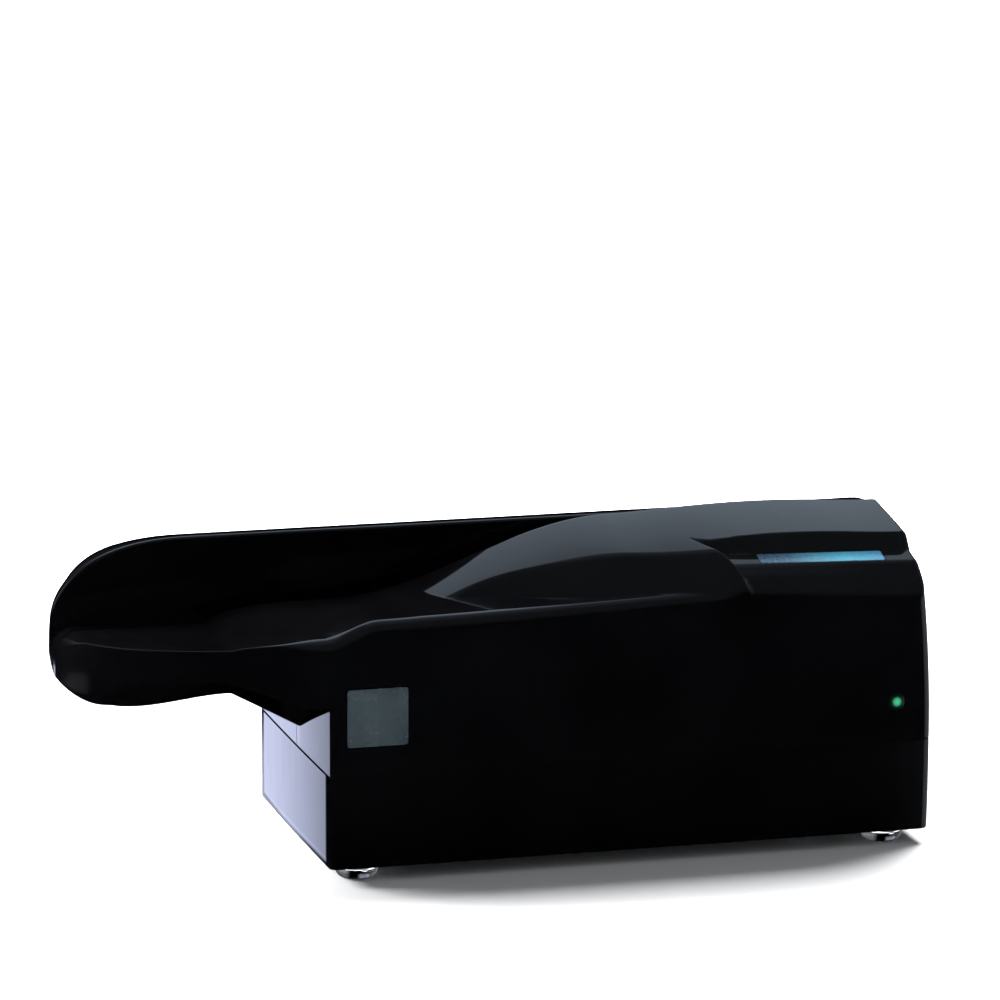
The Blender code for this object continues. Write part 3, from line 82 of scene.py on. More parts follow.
# %% [markdown]
# A moulded cover has hardly a straight line in it. It could be sculpted or built from blocks
# with rounded edges, but then no one could say what its lines are. Here each mesh is worked
# out as whole numpy arrays: a closed ring of points is repeated along a path, neighbouring
# rings are joined by four-sided faces, and both ends are capped. So every piece is closed.

# %% From points to a mesh
def shade(piece, sharp=32):
    """Smooth shading that keeps an edge crisp where it turns by more than this angle."""
    piece.data.shade_smooth()
    piece.data.set_sharp_from_angle(angle=math.radians(sharp))


def mesh_piece(name, points, faces, sharp=32):
    """Points of the housing's frame and faces, as a shaded object."""
    mesh = bpy.data.meshes.new(name)
    mesh.from_pydata((np.asarray(points, float).reshape(-1, 3) + shift).tolist(), [],
                     [face.tolist() for face in faces])
    mesh.validate()
    piece = bpy.data.objects.new(name, mesh)
    bpy.context.scene.collection.objects.link(piece)
    shade(piece, sharp)
    return piece


def ring_faces(count, around):
    """Ring k joins ring k + 1 by a row of four-sided faces, and the end rings are caps."""
    start = np.arange(count - 1)[:, None] * around
    here = np.arange(around)[None, :]
    after = (here + 1) % around
    quads = np.stack([start + here, start + after, start + around + after,
                      start + around + here], axis=-1).reshape(-1, 4)
    return [*quads, np.arange(around)[::-1], np.arange(around) + (count - 1) * around]


def ring_solid(name, rings, sharp=32, turned=False):
    """A closed solid from rings x points x 3, turned inside out where the rings run backwards."""
    rings = np.asarray(rings, float)
    if turned:
        rings = rings[:, ::-1]
    return mesh_piece(name, rings, ring_faces(*rings.shape[:2]), sharp)


print("three rings of four points give", len(ring_faces(3, 4)), "faces")


# %% [markdown]
# Feet, bores and lenses are round, as turned and drilled parts are. Blender has a cylinder to
# start from, but a profile carried round an axis gives the rounding of an edge as well. The
# plain box and the bar are never seen: they only cut.

# %% Turned shapes and cutters
def whole_turn(steps):
    """Angles of equal steps round a circle, without the last one, which is the first again."""
    return np.arange(steps) * (2 * math.pi / steps)


def turned_solid(name, centre, profile, around=64, sharp=32):
    """A profile of (radius, height) carried round an upright axis through the centre."""
    angle = whole_turn(around)
    radius, height = np.asarray(profile, float).T
    rings = np.stack([centre[0] + radius[:, None] * np.cos(angle),
                      centre[1] + radius[:, None] * np.sin(angle),
                      np.repeat(height[:, None], around, 1)], axis=-1)
    return ring_solid(name, rings, sharp)


def block(name, low, high):
    """A plain box between two corners."""
    (x0, y0, z0), (x1, y1, z1) = low, high
    flat = np.array(((x0, y0), (x1, y0), (x1, y1), (x0, y1)))
    return ring_solid(name, [np.column_stack([flat, np.full(4, z)]) for z in (z0, z1)])


def tube(name, centre, radius, ends, around=48):
    """A round bar along Y: x and z run on a circle, and y steps between the ends."""
    angle = whole_turn(around)
    x, z = centre[0] + radius * np.cos(angle), centre[1] + radius * np.sin(angle)
    rings = [np.column_stack([x, np.full(around, y), z]) for y in ends]
    return ring_solid(name, rings, turned=True)


print("64 steps turn by", round(math.degrees(whole_turn(64)[1]), 2), "degrees each")


# %% [markdown]
# In the mould, cores and inserts leave the hollow and the openings. A Boolean modifier does the
# same to a mesh. All cutters of a cover go into one step, because each step by itself would
# leave small faces for the next one to stumble over.

# %% Carving
carving_solver = "MANIFOLD"


def points_of(piece):
    """Corner points of a mesh as an array."""
    points = np.empty(len(piece.data.vertices) * 3)
    piece.data.vertices.foreach_get("co", points)
    return points.reshape(-1, 3)


def carve(target, cutters):
    """Cuts all of the cutters out of the target in one step, and throws the cutters away."""
    group = bpy.data.collections.new(target.name + "_cutters")
    for cutter in cutters:
        group.objects.link(cutter)
    step = target.modifiers.new("carve", "BOOLEAN")
    step.operation, step.solver = "DIFFERENCE", carving_solver
    step.operand_type, step.collection = "COLLECTION", group
    bpy.context.view_layer.update()
    cut_mesh = bpy.data.meshes.new_from_object(
        target.evaluated_get(bpy.context.evaluated_depsgraph_get()))
    target.modifiers.clear()
    target.data = cut_mesh
    shade(target)
    for cutter in cutters:
        bpy.data.objects.remove(cutter)
    bpy.data.collections.remove(group)
    size = np.round(np.ptp(points_of(target), axis=0) * 1000, 1)
    print(target.name, "has", len(cut_mesh.polygons), "faces and measures", size, "mm")


print("solver for carving:", carving_solver)


# %% [markdown]
# A mould maker draws a cover by its lines, and lets one line run softly into the next. A
# Bevel modifier rounds edges that are there, but these forms meet in places that move along the
# machine. So the softness is in the formulas: an eased step, a rounded minimum, a quarter
# ellipse at the rim.

# %% Soft steps and soft corners
def ease(share):
    """Rises from 0 to 1 with a level start and a level end: 3 s squared minus 2 s cubed."""
    share = np.clip(share, 0.0, 1.0)
    return share * share * (3 - 2 * share)


def softer_min(first, second, reach):
    """The lower of two heights, rounded by a parabola where they cross."""
    gap = np.clip(0.5 + (second - first) / (2 * reach), 0.0, 1.0)
    return second + (first - second) * gap - reach * gap * (1 - gap)


def softer_max(first, second, reach):
    """The higher of two heights, rounded the same way."""
    return -softer_min(-first, -second, reach)


def rounded_edge(distance, across, height):
    """How far a quarter ellipse has fallen at this distance from the outline."""
    share = np.clip(distance / across, 0, 1)
    return height * (1 - np.sqrt(np.clip(1 - (1 - share) ** 2, 0, 1)))


print("a quarter of the way, the ease has risen to", round(float(ease(0.25)), 3))


# %% [markdown]
# Two lines give the front cover its look from the side. The slot's lip is low on the wing,
# climbs a long ramp and swells a little at the top. The fold between the top and the front
# face climbs slowly to the right and dips at the left corner. Bezier curves could draw them,
# but a formula says at once how high each line is at any place.

# %% The lip and the front fold
lip_foot, lip_rise, ramp_start, ramp_length = 0.0036, 0.0148, 0.007, 0.059
tongue_length, crown_start, crown_length, crown_rise = 0.0193, body_width - 0.068, 0.074, 0.0012
crease_foot, crease_rise, crease_start, crease_power = 0.0046, 0.0044, 0.015, 1.4
corner_drop, corner_run = 0.0035, 0.012
lip_low, crease_low = shelf_height + lip_foot, shelf_height + crease_foot


def lip_height(x):
    """The slot's front lip: a quarter ellipse on the wing, an eased ramp, a sine crown."""
    on_wing = np.sqrt(np.clip(1 - (np.minimum(x, 0) / tongue_length) ** 2, 0, 1))
    low = shelf_height + (lip_low - shelf_height) * on_wing
    crown = np.sin(np.pi * np.clip((x - crown_start) / crown_length, 0, 1)) ** 2
    return low + lip_rise * ease((x - ramp_start) / ramp_length) + crown_rise * crown


def crease_height(x):
    """The front face's upper fold: a slow power curve that drops at the left corner."""
    run = np.clip((x - crease_start) / (body_width - crease_start), 0, 1)
    corner = np.clip(1 - np.maximum(x, 0) / corner_run, 0, 1) ** 2
    return crease_low + crease_rise * run**crease_power - corner_drop * corner


print("the lip climbs to", round(float(lip_height(body_width)) * 1000, 1), "mm")

# %% [markdown]
# Seen from above, the wing is a tongue with a round end. An ellipse would be too pointed and a
# rectangle with round corners too blunt, so its outline is a superellipse, whose power sets
# how full the end is. Its top turns down at the very tip.

# %% Plan of the wing
wing_power = 2.4
cap_start, cap_drop = 0.0464, 0.0060
crease_round, nose_round, round_run = 0.0024, 0.0002, 0.012


def wing_half(x):
    """Half of the wing's width: half depth times (1 - s to the power p) to the power 1 / p."""
    share = np.clip(-x / wing_reach, 0, 1)
    return centre_y * (1 - share**wing_power) ** (1 / wing_power)


def front_edge(x):
    """The front outline: the wing's, and then the straight front face."""
    return np.where(x < 0, centre_y - wing_half(x), 0.0)


def back_edge(x):
    """The rear outline: the wing's, and then the straight back."""
    return np.where(x < 0, centre_y + wing_half(x), body_depth)


def nose_cap(x):
    """The wing's top turns down at its tip as a quarter ellipse."""
    share = np.clip((-x - cap_start) / (wing_reach - cap_start), 0, 1)
    return shelf_height - cap_drop * (1 - np.sqrt(1 - share**2))


def edge_radius(x):
    """Rounding of the top's outer edge: soft on the body, crisp on the wing."""
    return crease_round + (nose_round - crease_round) * ease(-x / round_run)


print("half way out, the wing is", round(float(wing_half(-wing_reach / 2)) * 2000, 1), "mm wide")

# %% [markdown]
# The hump is what the eye goes to: a crown that falls forwards from the lip, a steep flank
# with one swell in its plan, and a low strip in front. It could be pushed out of a plain
# surface by hand. Worked out as the lower of crown and flank, above the strip, its fold lies
# just where the two meet, and stays there when a size is changed.

# %% The hump
hood_length, notch_length = 0.0410, 0.0070
notch_corner = body_width - hood_length
notch_left = notch_corner - notch_length
shoulder_left, shoulder_right, shoulder_power = 0.014, 0.004, 1.6
swell_place, swell_width, swell_depth = 0.036, 0.012, 0.003
top_slope, hump_curve, hood_curve = 0.145, 4.5, 2.5
hood_from, hood_run = 2 * swell_place, body_width / 6
flank_slope, deck_rise, shoulder_soft, foot_soft = 1.5, 0.0008, 0.001, 0.00004
foot_margin, fold_margin = 0.0006, 0.0004


def shoulder_line(x):
    """How far behind the front face the hump's fold runs: a power curve with one swell."""
    run = np.clip(x / (notch_corner + shoulder_right), 0, 1) ** shoulder_power
    swell = swell_depth * np.exp(-((x - swell_place) / swell_width) ** 2)
    return shoulder_left + (shoulder_right - shoulder_left) * run + swell


def crown_line(x, y):
    """The hump's and hood's top: from the lip it falls forwards by a slope and a square."""
    curve = hump_curve + (hood_curve - hump_curve) * ease((x - hood_from) / hood_run)
    far = np.maximum(slot_front - y, 0)
    return lip_height(x) - top_slope * far - curve * far**2


def deck_line(x, y):
    """The low, nearly level strip in front of the hump: it rises evenly from the front fold."""
    crease = crease_height(x)
    rise = np.minimum(lip_height(x) - crease, deck_rise)
    return crease + rise * np.clip(y / slot_front, 0, 1)


def flank_foot(x):
    """Where the hump's steep flank meets the strip: the fold less the drop over the slope."""
    shoulder = shoulder_line(x)
    drop = crown_line(x, shoulder) - deck_line(x, shoulder)
    return np.clip(shoulder - np.maximum(drop, 0) / flank_slope, crease_round + foot_margin,
                   shoulder - fold_margin)


def hump_top(x, y):
    """The front cover's top without its notch: the lower of crown and flank, above the strip."""
    shoulder = shoulder_line(x)
    flank = crown_line(x, shoulder) - flank_slope * (shoulder - y)
    upper = softer_min(crown_line(x, y), flank, shoulder_soft)
    return softer_max(upper, deck_line(x, y), foot_soft)


print("the fold runs", np.round(shoulder_line(np.array((0, swell_place, notch_left))) * 1000, 1),
      "mm behind the front face")

# %% [markdown]
# At the right the hump is cut back to a sloping ledge, which carries the label, with the hood
# behind it. A Boolean cut would leave hard, thin edges here. Instead the ledge, its two walls
# and the apron in front are planes, and the cover's top is the lower of them and the hump.

# %% The ledge and its notch
ledge_back, ledge_slope, ledge_tilt, ledge_height = 0.0084, 0.33, 0.028, shelf_height + 0.0126
hood_edge, hood_height = 0.0098, ledge_height + 0.0033
notch_front, notch_apex, notch_turn, notch_draw = 0.0036, 0.013, 0.0845, 0.003
notch_steepness, edge_soft = 2.2, 0.0004
apron_edge, apron_low, apron_high = 0.004, 0.95, 1.3


def ledge_plane(x, y):
    """The sloping ledge, a plane which also falls a little to the right."""
    return ledge_height - (ledge_back - y) * ledge_slope - (x - notch_corner) * ledge_tilt


def notch_floor(x, y):
    """The ledge, with the hood's front wall behind it and the hump's end at its left."""
    draw = notch_draw * np.clip((notch_turn - x) / (notch_turn - notch_left), 0, 1) ** 2
    wall_rise = (hood_height - ledge_height) / (hood_edge - ledge_back)
    behind = np.maximum(y - ledge_back - draw, 0) * wall_rise
    along = (notch_corner - notch_left, notch_front - notch_apex)
    left = ((x - notch_left) * along[1] - (y - notch_apex) * along[0]) / math.hypot(*along)
    steep = ease((x - notch_turn) / (body_width - notch_turn))
    steep = apron_low + (apron_high - apron_low) * steep
    apron = ledge_plane(x, apron_edge) - steep * (apron_edge - y)
    floor = np.where(y < hood_edge, softer_min(ledge_plane(x, y), apron, edge_soft),
                     ledge_plane(x, y))
    return floor + behind + notch_steepness * np.maximum(left, 0)


print("the ledge is", round((hood_height - ledge_height) * 1000, 1), "mm below the hood")

# %% [markdown]
# The front cover's top runs without a break from the wing to the right end. One function gives
# its height anywhere, so no patches have to be joined. The same function, with an inset, gives
# the inner face, and so a wall that is equally thick all over.

# %% The whole top of the front cover
root_from, root_length, wing_share = -0.004, 0.014, 0.25
blend_reach, notch_soft, outline_share = 0.0005, 0.0012, 0.9


def front_top(x, y, inset=0.0):
    """Wing blended into body by an ease, and body the lower of hump and notch, less the rim."""
    y = np.maximum(y - inset, 0.0)
    rise = wing_share + (1 - wing_share) * np.clip(y / slot_front, 0, 1)
    wing = shelf_height + (lip_height(x) - shelf_height) * rise
    soft = ease((notch_corner - x) / (notch_corner - notch_turn))
    soft = blend_reach + (notch_soft - blend_reach) * soft
    body = softer_min(hump_top(x, y), notch_floor(x, y), soft)
    height = wing + (body - wing) * ease((x - root_from) / root_length)
    height = np.where(x < -cap_start, np.minimum(height, nose_cap(x)), height)
    edge = np.where(x < 0, front_edge(x), 0.0)
    across = np.minimum(edge_radius(x), outline_share * np.maximum(slot_front - edge, jump))
    return height - rounded_edge(y - edge, across, edge_radius(x)) - inset


print("the hump's top is", round(float(front_top(np.array(0.07), 0.027)) * 1000, 1), "mm up")

# %% [markdown]
# Behind the slot stands a wall, level along the body and rounded down to the wing at its left
# end. The roof falls backwards from it. A lofted surface in a CAD tool would be the usual way.
# Here the wall's top line and the fall are one formula each, and the roof is their difference.

# %% The slot's rear wall and the roof
rear_top, rear_fall, rear_round, rear_power = shelf_height + 0.017, 0.0082, 0.003, 1.6
sail_start, sail_reach, sail_power, sail_edge = 0.0205, 0.0311, 2.45, 0.012
sail_foot, nose_height, hem_share = shelf_height - 0.005, shelf_height - 0.0065, 0.3


def sail_height(x):
    """Top line of the slot's rear wall: level, then a superellipse down to the wing."""
    share = np.clip((-sail_start - x) / sail_reach, 0, 1)
    sail = sail_foot + (rear_top - sail_foot) * (1 - share**sail_power) ** (1 / sail_power)
    return np.maximum(sail, nose_cap(x) + jump)


def rear_roof(x, y, inset=0.0):
    """The rear cover's top: a power curve falls backwards, a quarter ellipse rounds it off."""
    y = y + inset
    top, edge = sail_height(x), back_edge(x)
    run = np.clip((y - slot_back) / (body_depth - slot_back), 0, 1)
    roof = top - rear_fall * run**rear_power
    wing = ease(-x / wing_reach)
    across = rear_round + (sail_edge - rear_round) * wing
    across = np.minimum(across, outline_share * np.maximum(edge - slot_back, jump))
    last = np.clip((edge - slot_back) / (body_depth - slot_back), 0, 1)
    hem = np.minimum(nose_height + edge_radius(x) * hem_share, top)
    fall = rear_round + (top - rear_fall * last**rear_power - hem - rear_round) * wing
    return roof - rounded_edge(edge - y, across, fall) - inset


print("the rear wall stands", round((rear_top - shelf_height) * 1000, 1), "mm above the shelf")

# %% [markdown]
# From below, the wing is a boat's hull: a keel, two sides that rise to a hem, and a full, round
# bow. Scaling a plain shape towards the tip would give a thin beak. Here the sides are a V,
# and the V's power grows towards the bow, which fills it.

# %% Underside of the wing
keel_place, keel_height = slot_front - 0.003, shelf_height - 0.0147
keel_drop = keel_height - seam_height - 0.00465
keel_dip, keel_run, keel_nose, keel_reach, keel_lift = 0.0016, 0.015, 0.034, 0.053, 0.012
under_edge, hem_run, nose_fullness, nose_from = shelf_height - 0.013, 0.024, 4.0, 0.038


def keel(x):
    """Lowest line of the wing: level, rounded up to the nose, dropping to the body."""
    nose = np.clip((-keel_nose - x) / (keel_reach - keel_nose), 0, 1)
    line = keel_height - keel_dip * ease((-x - keel_run) / (keel_nose - keel_run))
    line = line + keel_lift * (1 - np.sqrt(1 - nose**2))
    return line - keel_drop * np.clip(1 + x / keel_run, 0, 1)


def hem_height(x):
    """Height at which the wing's side turns into its underside, eased up to the nose."""
    return under_edge + (nose_height - under_edge) * ease(-x / hem_run)


def under(x, y, inset=0.0):
    """Keel plus rise times s to a power, s from 0 at the keel to 1 at the outline."""
    edge = np.where(y < keel_place, front_edge(x), back_edge(x))
    reach = np.maximum(np.abs(edge - keel_place), jump)
    share = np.clip(np.abs(y - keel_place) / reach, 0, 1)
    power = 1 + nose_fullness * ease((-x - nose_from) / (wing_reach - nose_from))
    return keel(x) + (hem_height(x) - keel(x)) * share**power + inset


print("the keel is lowest at", round(float(keel(-keel_nose)) * 1000, 1), "mm")

# %% [markdown]
# The right end isn't flat: it swells out and draws in again towards the top. The left side has
# a swelling of a fifth of a millimetre, too little to measure, but its reflection shows it. A
# Lattice modifier could bend the finished covers. Moving their points by a formula does the
# same and needs no modifier.

# %% Swollen sides
end_taper, tray_taper, taper_limit = 1.4, 0.8, -1.2
bulge_from, bulge_run = 0.85, 0.13
side_swell, side_run = 0.0002, 0.012


def bulged(points):
    """Bows the right end out by a parabola in height, and the left side by one in depth."""
    points = np.array(points, float)
    x, z = points[..., 0].copy(), points[..., 2]
    across = 1 - ((points[..., 1] - centre_y) / centre_y) ** 2
    left = side_swell * np.clip(across, 0, 1) * ease(1 - np.abs(x) / side_run)
    far = shelf_height + lip_rise - seam_height
    share = np.where(z < seam_height, tray_taper, end_taper) * (z - seam_height) / far
    near_end = ease((x / body_width - bulge_from) / bulge_run)
    points[..., 0] = x + end_bulge * np.clip(1 - share**2, taper_limit, 1) * near_end - left
    return points


print("the right end swells by", round(end_bulge * 1000, 1), "mm at the seam")

# %% [markdown]
# Both covers are cut by many upright planes across the slot. Each plane gives one closed ring.
# Evenly spaced rings would waste faces on the straight body and be too few at the nose, at the
# notch and at the rounded right end, so they stand closest where the shape turns fast.

# %% Where the rings stand
side_round, end_round = 0.0005, 0.0008
nose_first, ramp_margin = 89.6, 0.001
notch_before, notch_after, hood_after = 0.0008, 0.0015, 0.002


def stations(inset=0.0, detail=1.0):
    """Places along X: a sine row on the nose, then even rows of different density."""
    def several(low, high, most):
        """Even places between two ends, fewer of them for the hollow."""
        return np.linspace(low, high, max(3, round(most * detail)))
    start = math.degrees(math.asin(keel_run / (wing_reach - inset)))
    nose = -(wing_reach - inset) * np.sin(np.radians(several(nose_first, start, 64)))
    keel_part = several(-keel_run, inset - jump, 26)[1:]
    corner = inset + jump + side_round * (1 - np.cos(several(0, math.pi / 2, 5)))
    ramp = several(inset + ramp_margin, notch_left - ramp_margin, 150)
    notch = several(notch_left - notch_before, notch_corner + notch_after, 56)
    hood = several(notch_corner + hood_after, body_width - corner_radius - inset, 50)[:-1]
    turn = several(math.pi / 2, 0, 10)
    end = body_width - inset - corner_radius * (1 - np.sin(turn[::-1]))
    return np.concatenate([nose, keel_part, corner, ramp, notch, hood, end])


print("outer rings:", len(stations()), "and inner rings:", len(stations(wall, 0.3)))


# %% [markdown]
# Small roundings finish the corners: where the front meets the right end, where the left side
# meets front and back, and along the end's upper edge. A Bevel modifier would have to find
# these edges first. Here each is a quarter circle that draws the rings in. The end itself is
# closed by rings that shrink to the ring's middle height.

# %% Trims at the corners
side_fade, closing_share = 0.001, 0.97


def corner_trim(x, inset):
    """How far the front and back faces draw in at the right end's upright corners."""
    near = np.clip(corner_radius - (body_width - inset - x), 0, corner_radius)
    return corner_radius - np.sqrt(corner_radius**2 - near**2)


def side_trim(x, z, inset):
    """The small rounding of the left side's upright corners, below the wing only."""
    near = np.clip(side_round - (x - inset), 0, side_round)
    trim = side_round - np.sqrt(side_round**2 - near**2)
    return np.where(x < inset, 0.0, trim) * ease((under_edge - z) / side_fade)


def end_drop(x, inset):
    """The rounding of the top's right end, a quarter circle."""
    return rounded_edge(body_width - inset - x, end_round, end_round)


def cap_rings(rings, steps=14):
    """Rings that close the right end: each is drawn in towards the ring's middle height."""
    last = rings[-1]
    middle = (last[:, 2].max() + last[:, 2].min()) / 2
    share = np.linspace(0, closing_share, steps)[1:, None]
    closing = np.repeat(last[None], steps - 1, 0)
    closing[..., 2] = middle + (last[None, :, 2] - middle) * (1 - share)
    return np.concatenate([rings, closing])


print("the right corners draw in by", round(float(corner_trim(body_width, 0)) * 1000, 1), "mm")

# %% [markdown]
# A ring of the front cover goes from the slot's face over the lip and the top to the fold, down
# the front face and back along the underside. All rings have the same number of points, so
# that they can be joined, and the points gather at the hump's fold and at its foot. All rings
# are worked out at once: x is a column, and each row of the result is one ring.

# %% Rings of the front cover
lip_round, crown_run, lip_margin, face_share = 0.0006, 0.0085, 0.002, 0.8


def row(most, detail):
    """Even steps from 0 to 1 as a row."""
    return np.linspace(0, 1, max(3, round(most * detail)))[None, :]


def top_places(x, inset, back, edge, detail):
    """Where a ring's top points lie in Y: close together at the hump's fold and foot."""
    near = back - lip_round
    crease = np.minimum(edge_radius(x), face_share * (back - edge))
    fold, foot = shoulder_line(x) + inset, flank_foot(x) + inset
    far = np.minimum(fold + crown_run, back - lip_margin)
    flat = np.concatenate([near + (far - near) * row(14, detail)[:, 1:] + 0 * x,
                           far + (fold - far) * row(36, detail)[:, 1:],
                           fold + (foot - fold) * row(14, detail)[:, 1:],
                           foot + (inset + crease_round - foot) * row(20, detail)[:, 1:]], axis=1)
    reach = np.maximum(near - edge - crease, jump)
    flat = edge + crease + (flat - inset - crease_round) * reach / (near - inset - crease_round)
    arc = edge + crease * (1 - np.sin(row(12, detail)[:, 1:] * math.pi / 2))
    return [np.minimum(flat, near), arc]


def front_rings(x, inset, back, low, detail=1.0):
    """Rings of the front cover: slot face, lip, top, fold, front face and underside."""
    x = x[:, None]
    edge = np.minimum(front_edge(x) + inset + corner_trim(x, inset), back - jump)
    turn = row(6, detail) * math.pi / 2
    lip_y = back - lip_round * (1 - np.cos(turn))
    top_y = [lip_y + 0 * x, *top_places(x, inset, back, edge, detail)]
    top_y = np.minimum.accumulate(np.concatenate(top_y, axis=1), axis=1)
    top_z = front_top(x, np.minimum(top_y, back - lip_round), inset) - end_drop(x, inset)
    top_z[:, :turn.shape[1]] -= lip_round * (1 - np.sin(turn))
    ceiling = top_z.min(1)[:, None] - jump
    lowest = np.where(x < inset, np.minimum(under(x, edge, inset), ceiling), low)
    face_z = top_z[:, -1:] + (lowest - top_z[:, -1:]) * row(16, detail)[:, 1:]
    face_y = edge + side_trim(x, face_z, inset)
    under_y = face_y[:, -1:] + (back - face_y[:, -1:]) * row(22, detail)[:, 1:]
    under_z = np.where(x < inset, np.minimum(under(x, under_y, inset), ceiling), low)
    y = np.concatenate([top_y, face_y, under_y], axis=1)
    z = np.concatenate([top_z, face_z, under_z], axis=1)
    return np.stack([x + 0 * y, y, z], axis=-1)


print("each front ring has", front_rings(stations(), 0, front_half_back, top_low).shape[1],
      "points")


# %% [markdown]
# A ring of the rear cover goes along the shelf, up the slot's rear wall, over the roof, down
# the back and along the underside. It could be the front cover's ring mirrored, but the rear
# wall is higher and the roof plainer. So it has a function of its own, made in the same way, and
# the two covers meet in one fine joint under the wing.

# %% Rings of the rear cover
def rear_rings(x, inset, shelf_from, wall_at, low, detail=1.0):
    """Rings of the rear cover: the shelf, the slot's rear wall, roof, back and underside."""
    x = x[:, None]
    edge = np.maximum(back_edge(x) - inset - corner_trim(x, inset), wall_at + 4 * jump)
    across = rear_round + (sail_edge - rear_round) * ease(-x / wing_reach)
    across = np.minimum(outline_share * (edge - wall_at), across)
    inner = wall_at + lip_round
    bend = np.maximum(edge - across, inner)
    arc = bend + (edge - bend) * np.sin(row(20, detail)[:, 1:] * math.pi / 2)
    roof_y = np.concatenate([inner + (bend - inner) * row(24, detail), arc], axis=1)
    roof_y = np.clip(roof_y, wall_at + jump, edge)
    roof_z = rear_roof(x, roof_y, inset) - end_drop(x, inset)
    roof_z = np.maximum(roof_z, np.where(x < inset, hem_height(x) + 2 * jump, -1.0))
    foot = np.minimum(nose_cap(x) - inset, roof_z[:, :1] - jump)
    turn = row(6, detail)[:, :-1] * math.pi / 2
    lip_y = wall_at + lip_round * (1 - np.cos(turn)) + 0 * x
    drop = np.minimum(lip_round, (roof_z[:, :1] - foot) / 2)
    lip_z = roof_z[:, :1] - drop * (1 - np.sin(turn))
    shelf_y = shelf_from + (wall_at - shelf_from) * row(5, detail)
    wall_z = foot + (lip_z[:, :1] - foot) * row(8, detail)[:, 1:-1]
    ceiling = np.minimum(roof_z.min(1)[:, None], foot) - jump
    lowest = np.where(x < inset, np.minimum(under(x, edge, inset), ceiling), low)
    back_z = roof_z[:, -1:] + (lowest - roof_z[:, -1:]) * row(14, detail)[:, 1:]
    back_y = edge - side_trim(x, back_z, inset)
    under_y = back_y[:, -1:] + (shelf_from - back_y[:, -1:]) * row(22, detail)[:, 1:]
    under_z = np.where(x < inset, np.minimum(under(x, under_y, inset), ceiling), low)
    y = np.concatenate([shelf_y + 0 * x, wall_at + 0 * wall_z, lip_y, roof_y, back_y, under_y],
                       axis=1)
    z = np.concatenate([foot + 0 * shelf_y, wall_z, lip_z, roof_z, back_z, under_z], axis=1)
    return np.stack([x + 0 * y, y, z], axis=-1)


print("each rear ring has",
      rear_rings(stations(), 0, rear_half_front, slot_back, top_low).shape[1], "points")

# %% [markdown]
# Rollers, head, scanner window and sensors reach the slot through openings in its two walls.
# Their places come from the machine's drive: each driven roller faces a pinch roller, and the
# head stands between the two pairs. An opening could simply be made wide enough by eye. Here it
# is as wide as the chord that the wall cuts from the roller's circle, and a little more.

# %% Openings of the slot
slot_middle, gap_share = (slot_front + slot_back) / 2, fit_gap / 2
drive_radius, pinch_radius = 0.007, 0.0065
drive_y = slot_middle - gap_share - drive_radius
pinch_y = slot_middle + gap_share + pinch_radius
left_station, middle_x, right_station = 0.052, 0.075, 0.098
tyre_low, tyre_height = 0.0485, 0.006
eye_place, eye_radius = (0.0397, 0.0506), 0.0016
inner_back, inner_wall = front_half_back - slot_wall, slot_back + slot_wall


def window(x, half, y):
    """An opening for a roller, centred on x, as high as its tyre and a little more."""
    low, high = tyre_low - 2 * fit_gap, tyre_low + tyre_height + 2 * fit_gap
    return block("window", (x - half, y - slot_wall / 2, low),
                 (x + half, y + 1.5 * slot_wall, high))


def half_chord(radius, distance):
    """Half of what a circle covers of a line: the root of r squared minus d squared."""
    return math.sqrt(radius**2 - distance**2) + 2 * fit_gap


drive_half = half_chord(drive_radius, inner_back - drive_y)
pinch_half = half_chord(pinch_radius, pinch_y - inner_wall)
print("openings are", round(drive_half * 2000, 1), "and", round(pinch_half * 2000, 1), "mm wide")

# %% [markdown]
# A label lies along the sloping ledge, and a small plate sits in the front face. On the real
# machine both rest in shallow recesses, so that their edges don't lift. The recess of the label
# is a sheet that lies along the slope, which a box of Blender's would have to be turned to.

# %% Places of plate, label and light
light_x, light_z, light_radius = 0.1218, 0.0279, 0.0017
badge_low, badge_high, badge_left, badge_right = 0.0253, 0.0380, 0.0034, 0.0168
label_left, label_right, label_front, label_back = 0.0930, 0.1203, 0.0045, 0.0081
plate_thickness, label_thickness, recess_margin = 0.0004, 0.0004, 0.0001
ledge_up = np.array((ledge_tilt, -ledge_slope, 1.0))
ledge_up = ledge_up / math.sqrt(1 + ledge_tilt**2 + ledge_slope**2)


def ledge_block(name, grow, low, high):
    """A sheet along the ledge's plane, between two heights along the plane's normal."""
    y = np.array((label_front - grow, label_back + grow, label_back + grow, label_front - grow))
    level = np.array((low, low, high, high))
    rings = []
    for x in (label_left - grow, label_right + grow):
        flat = np.column_stack([np.full(4, x), y, ledge_plane(x, y)])
        rings.append(flat + ledge_up * level[:, None])
    return ring_solid(name, rings)


print("the ledge leans by", round(math.degrees(math.acos(ledge_up[2])), 1), "degrees")

# %% [markdown]
# The front cover is a hollow shell about two millimetres thick. A Solidify modifier would give
# it a wall, but would fold over in the tight corners of the notch. So it is a full solid first,
# and the hollow is the same rings drawn in by the wall, with fewer of them, carved out together
# with the openings and recesses.

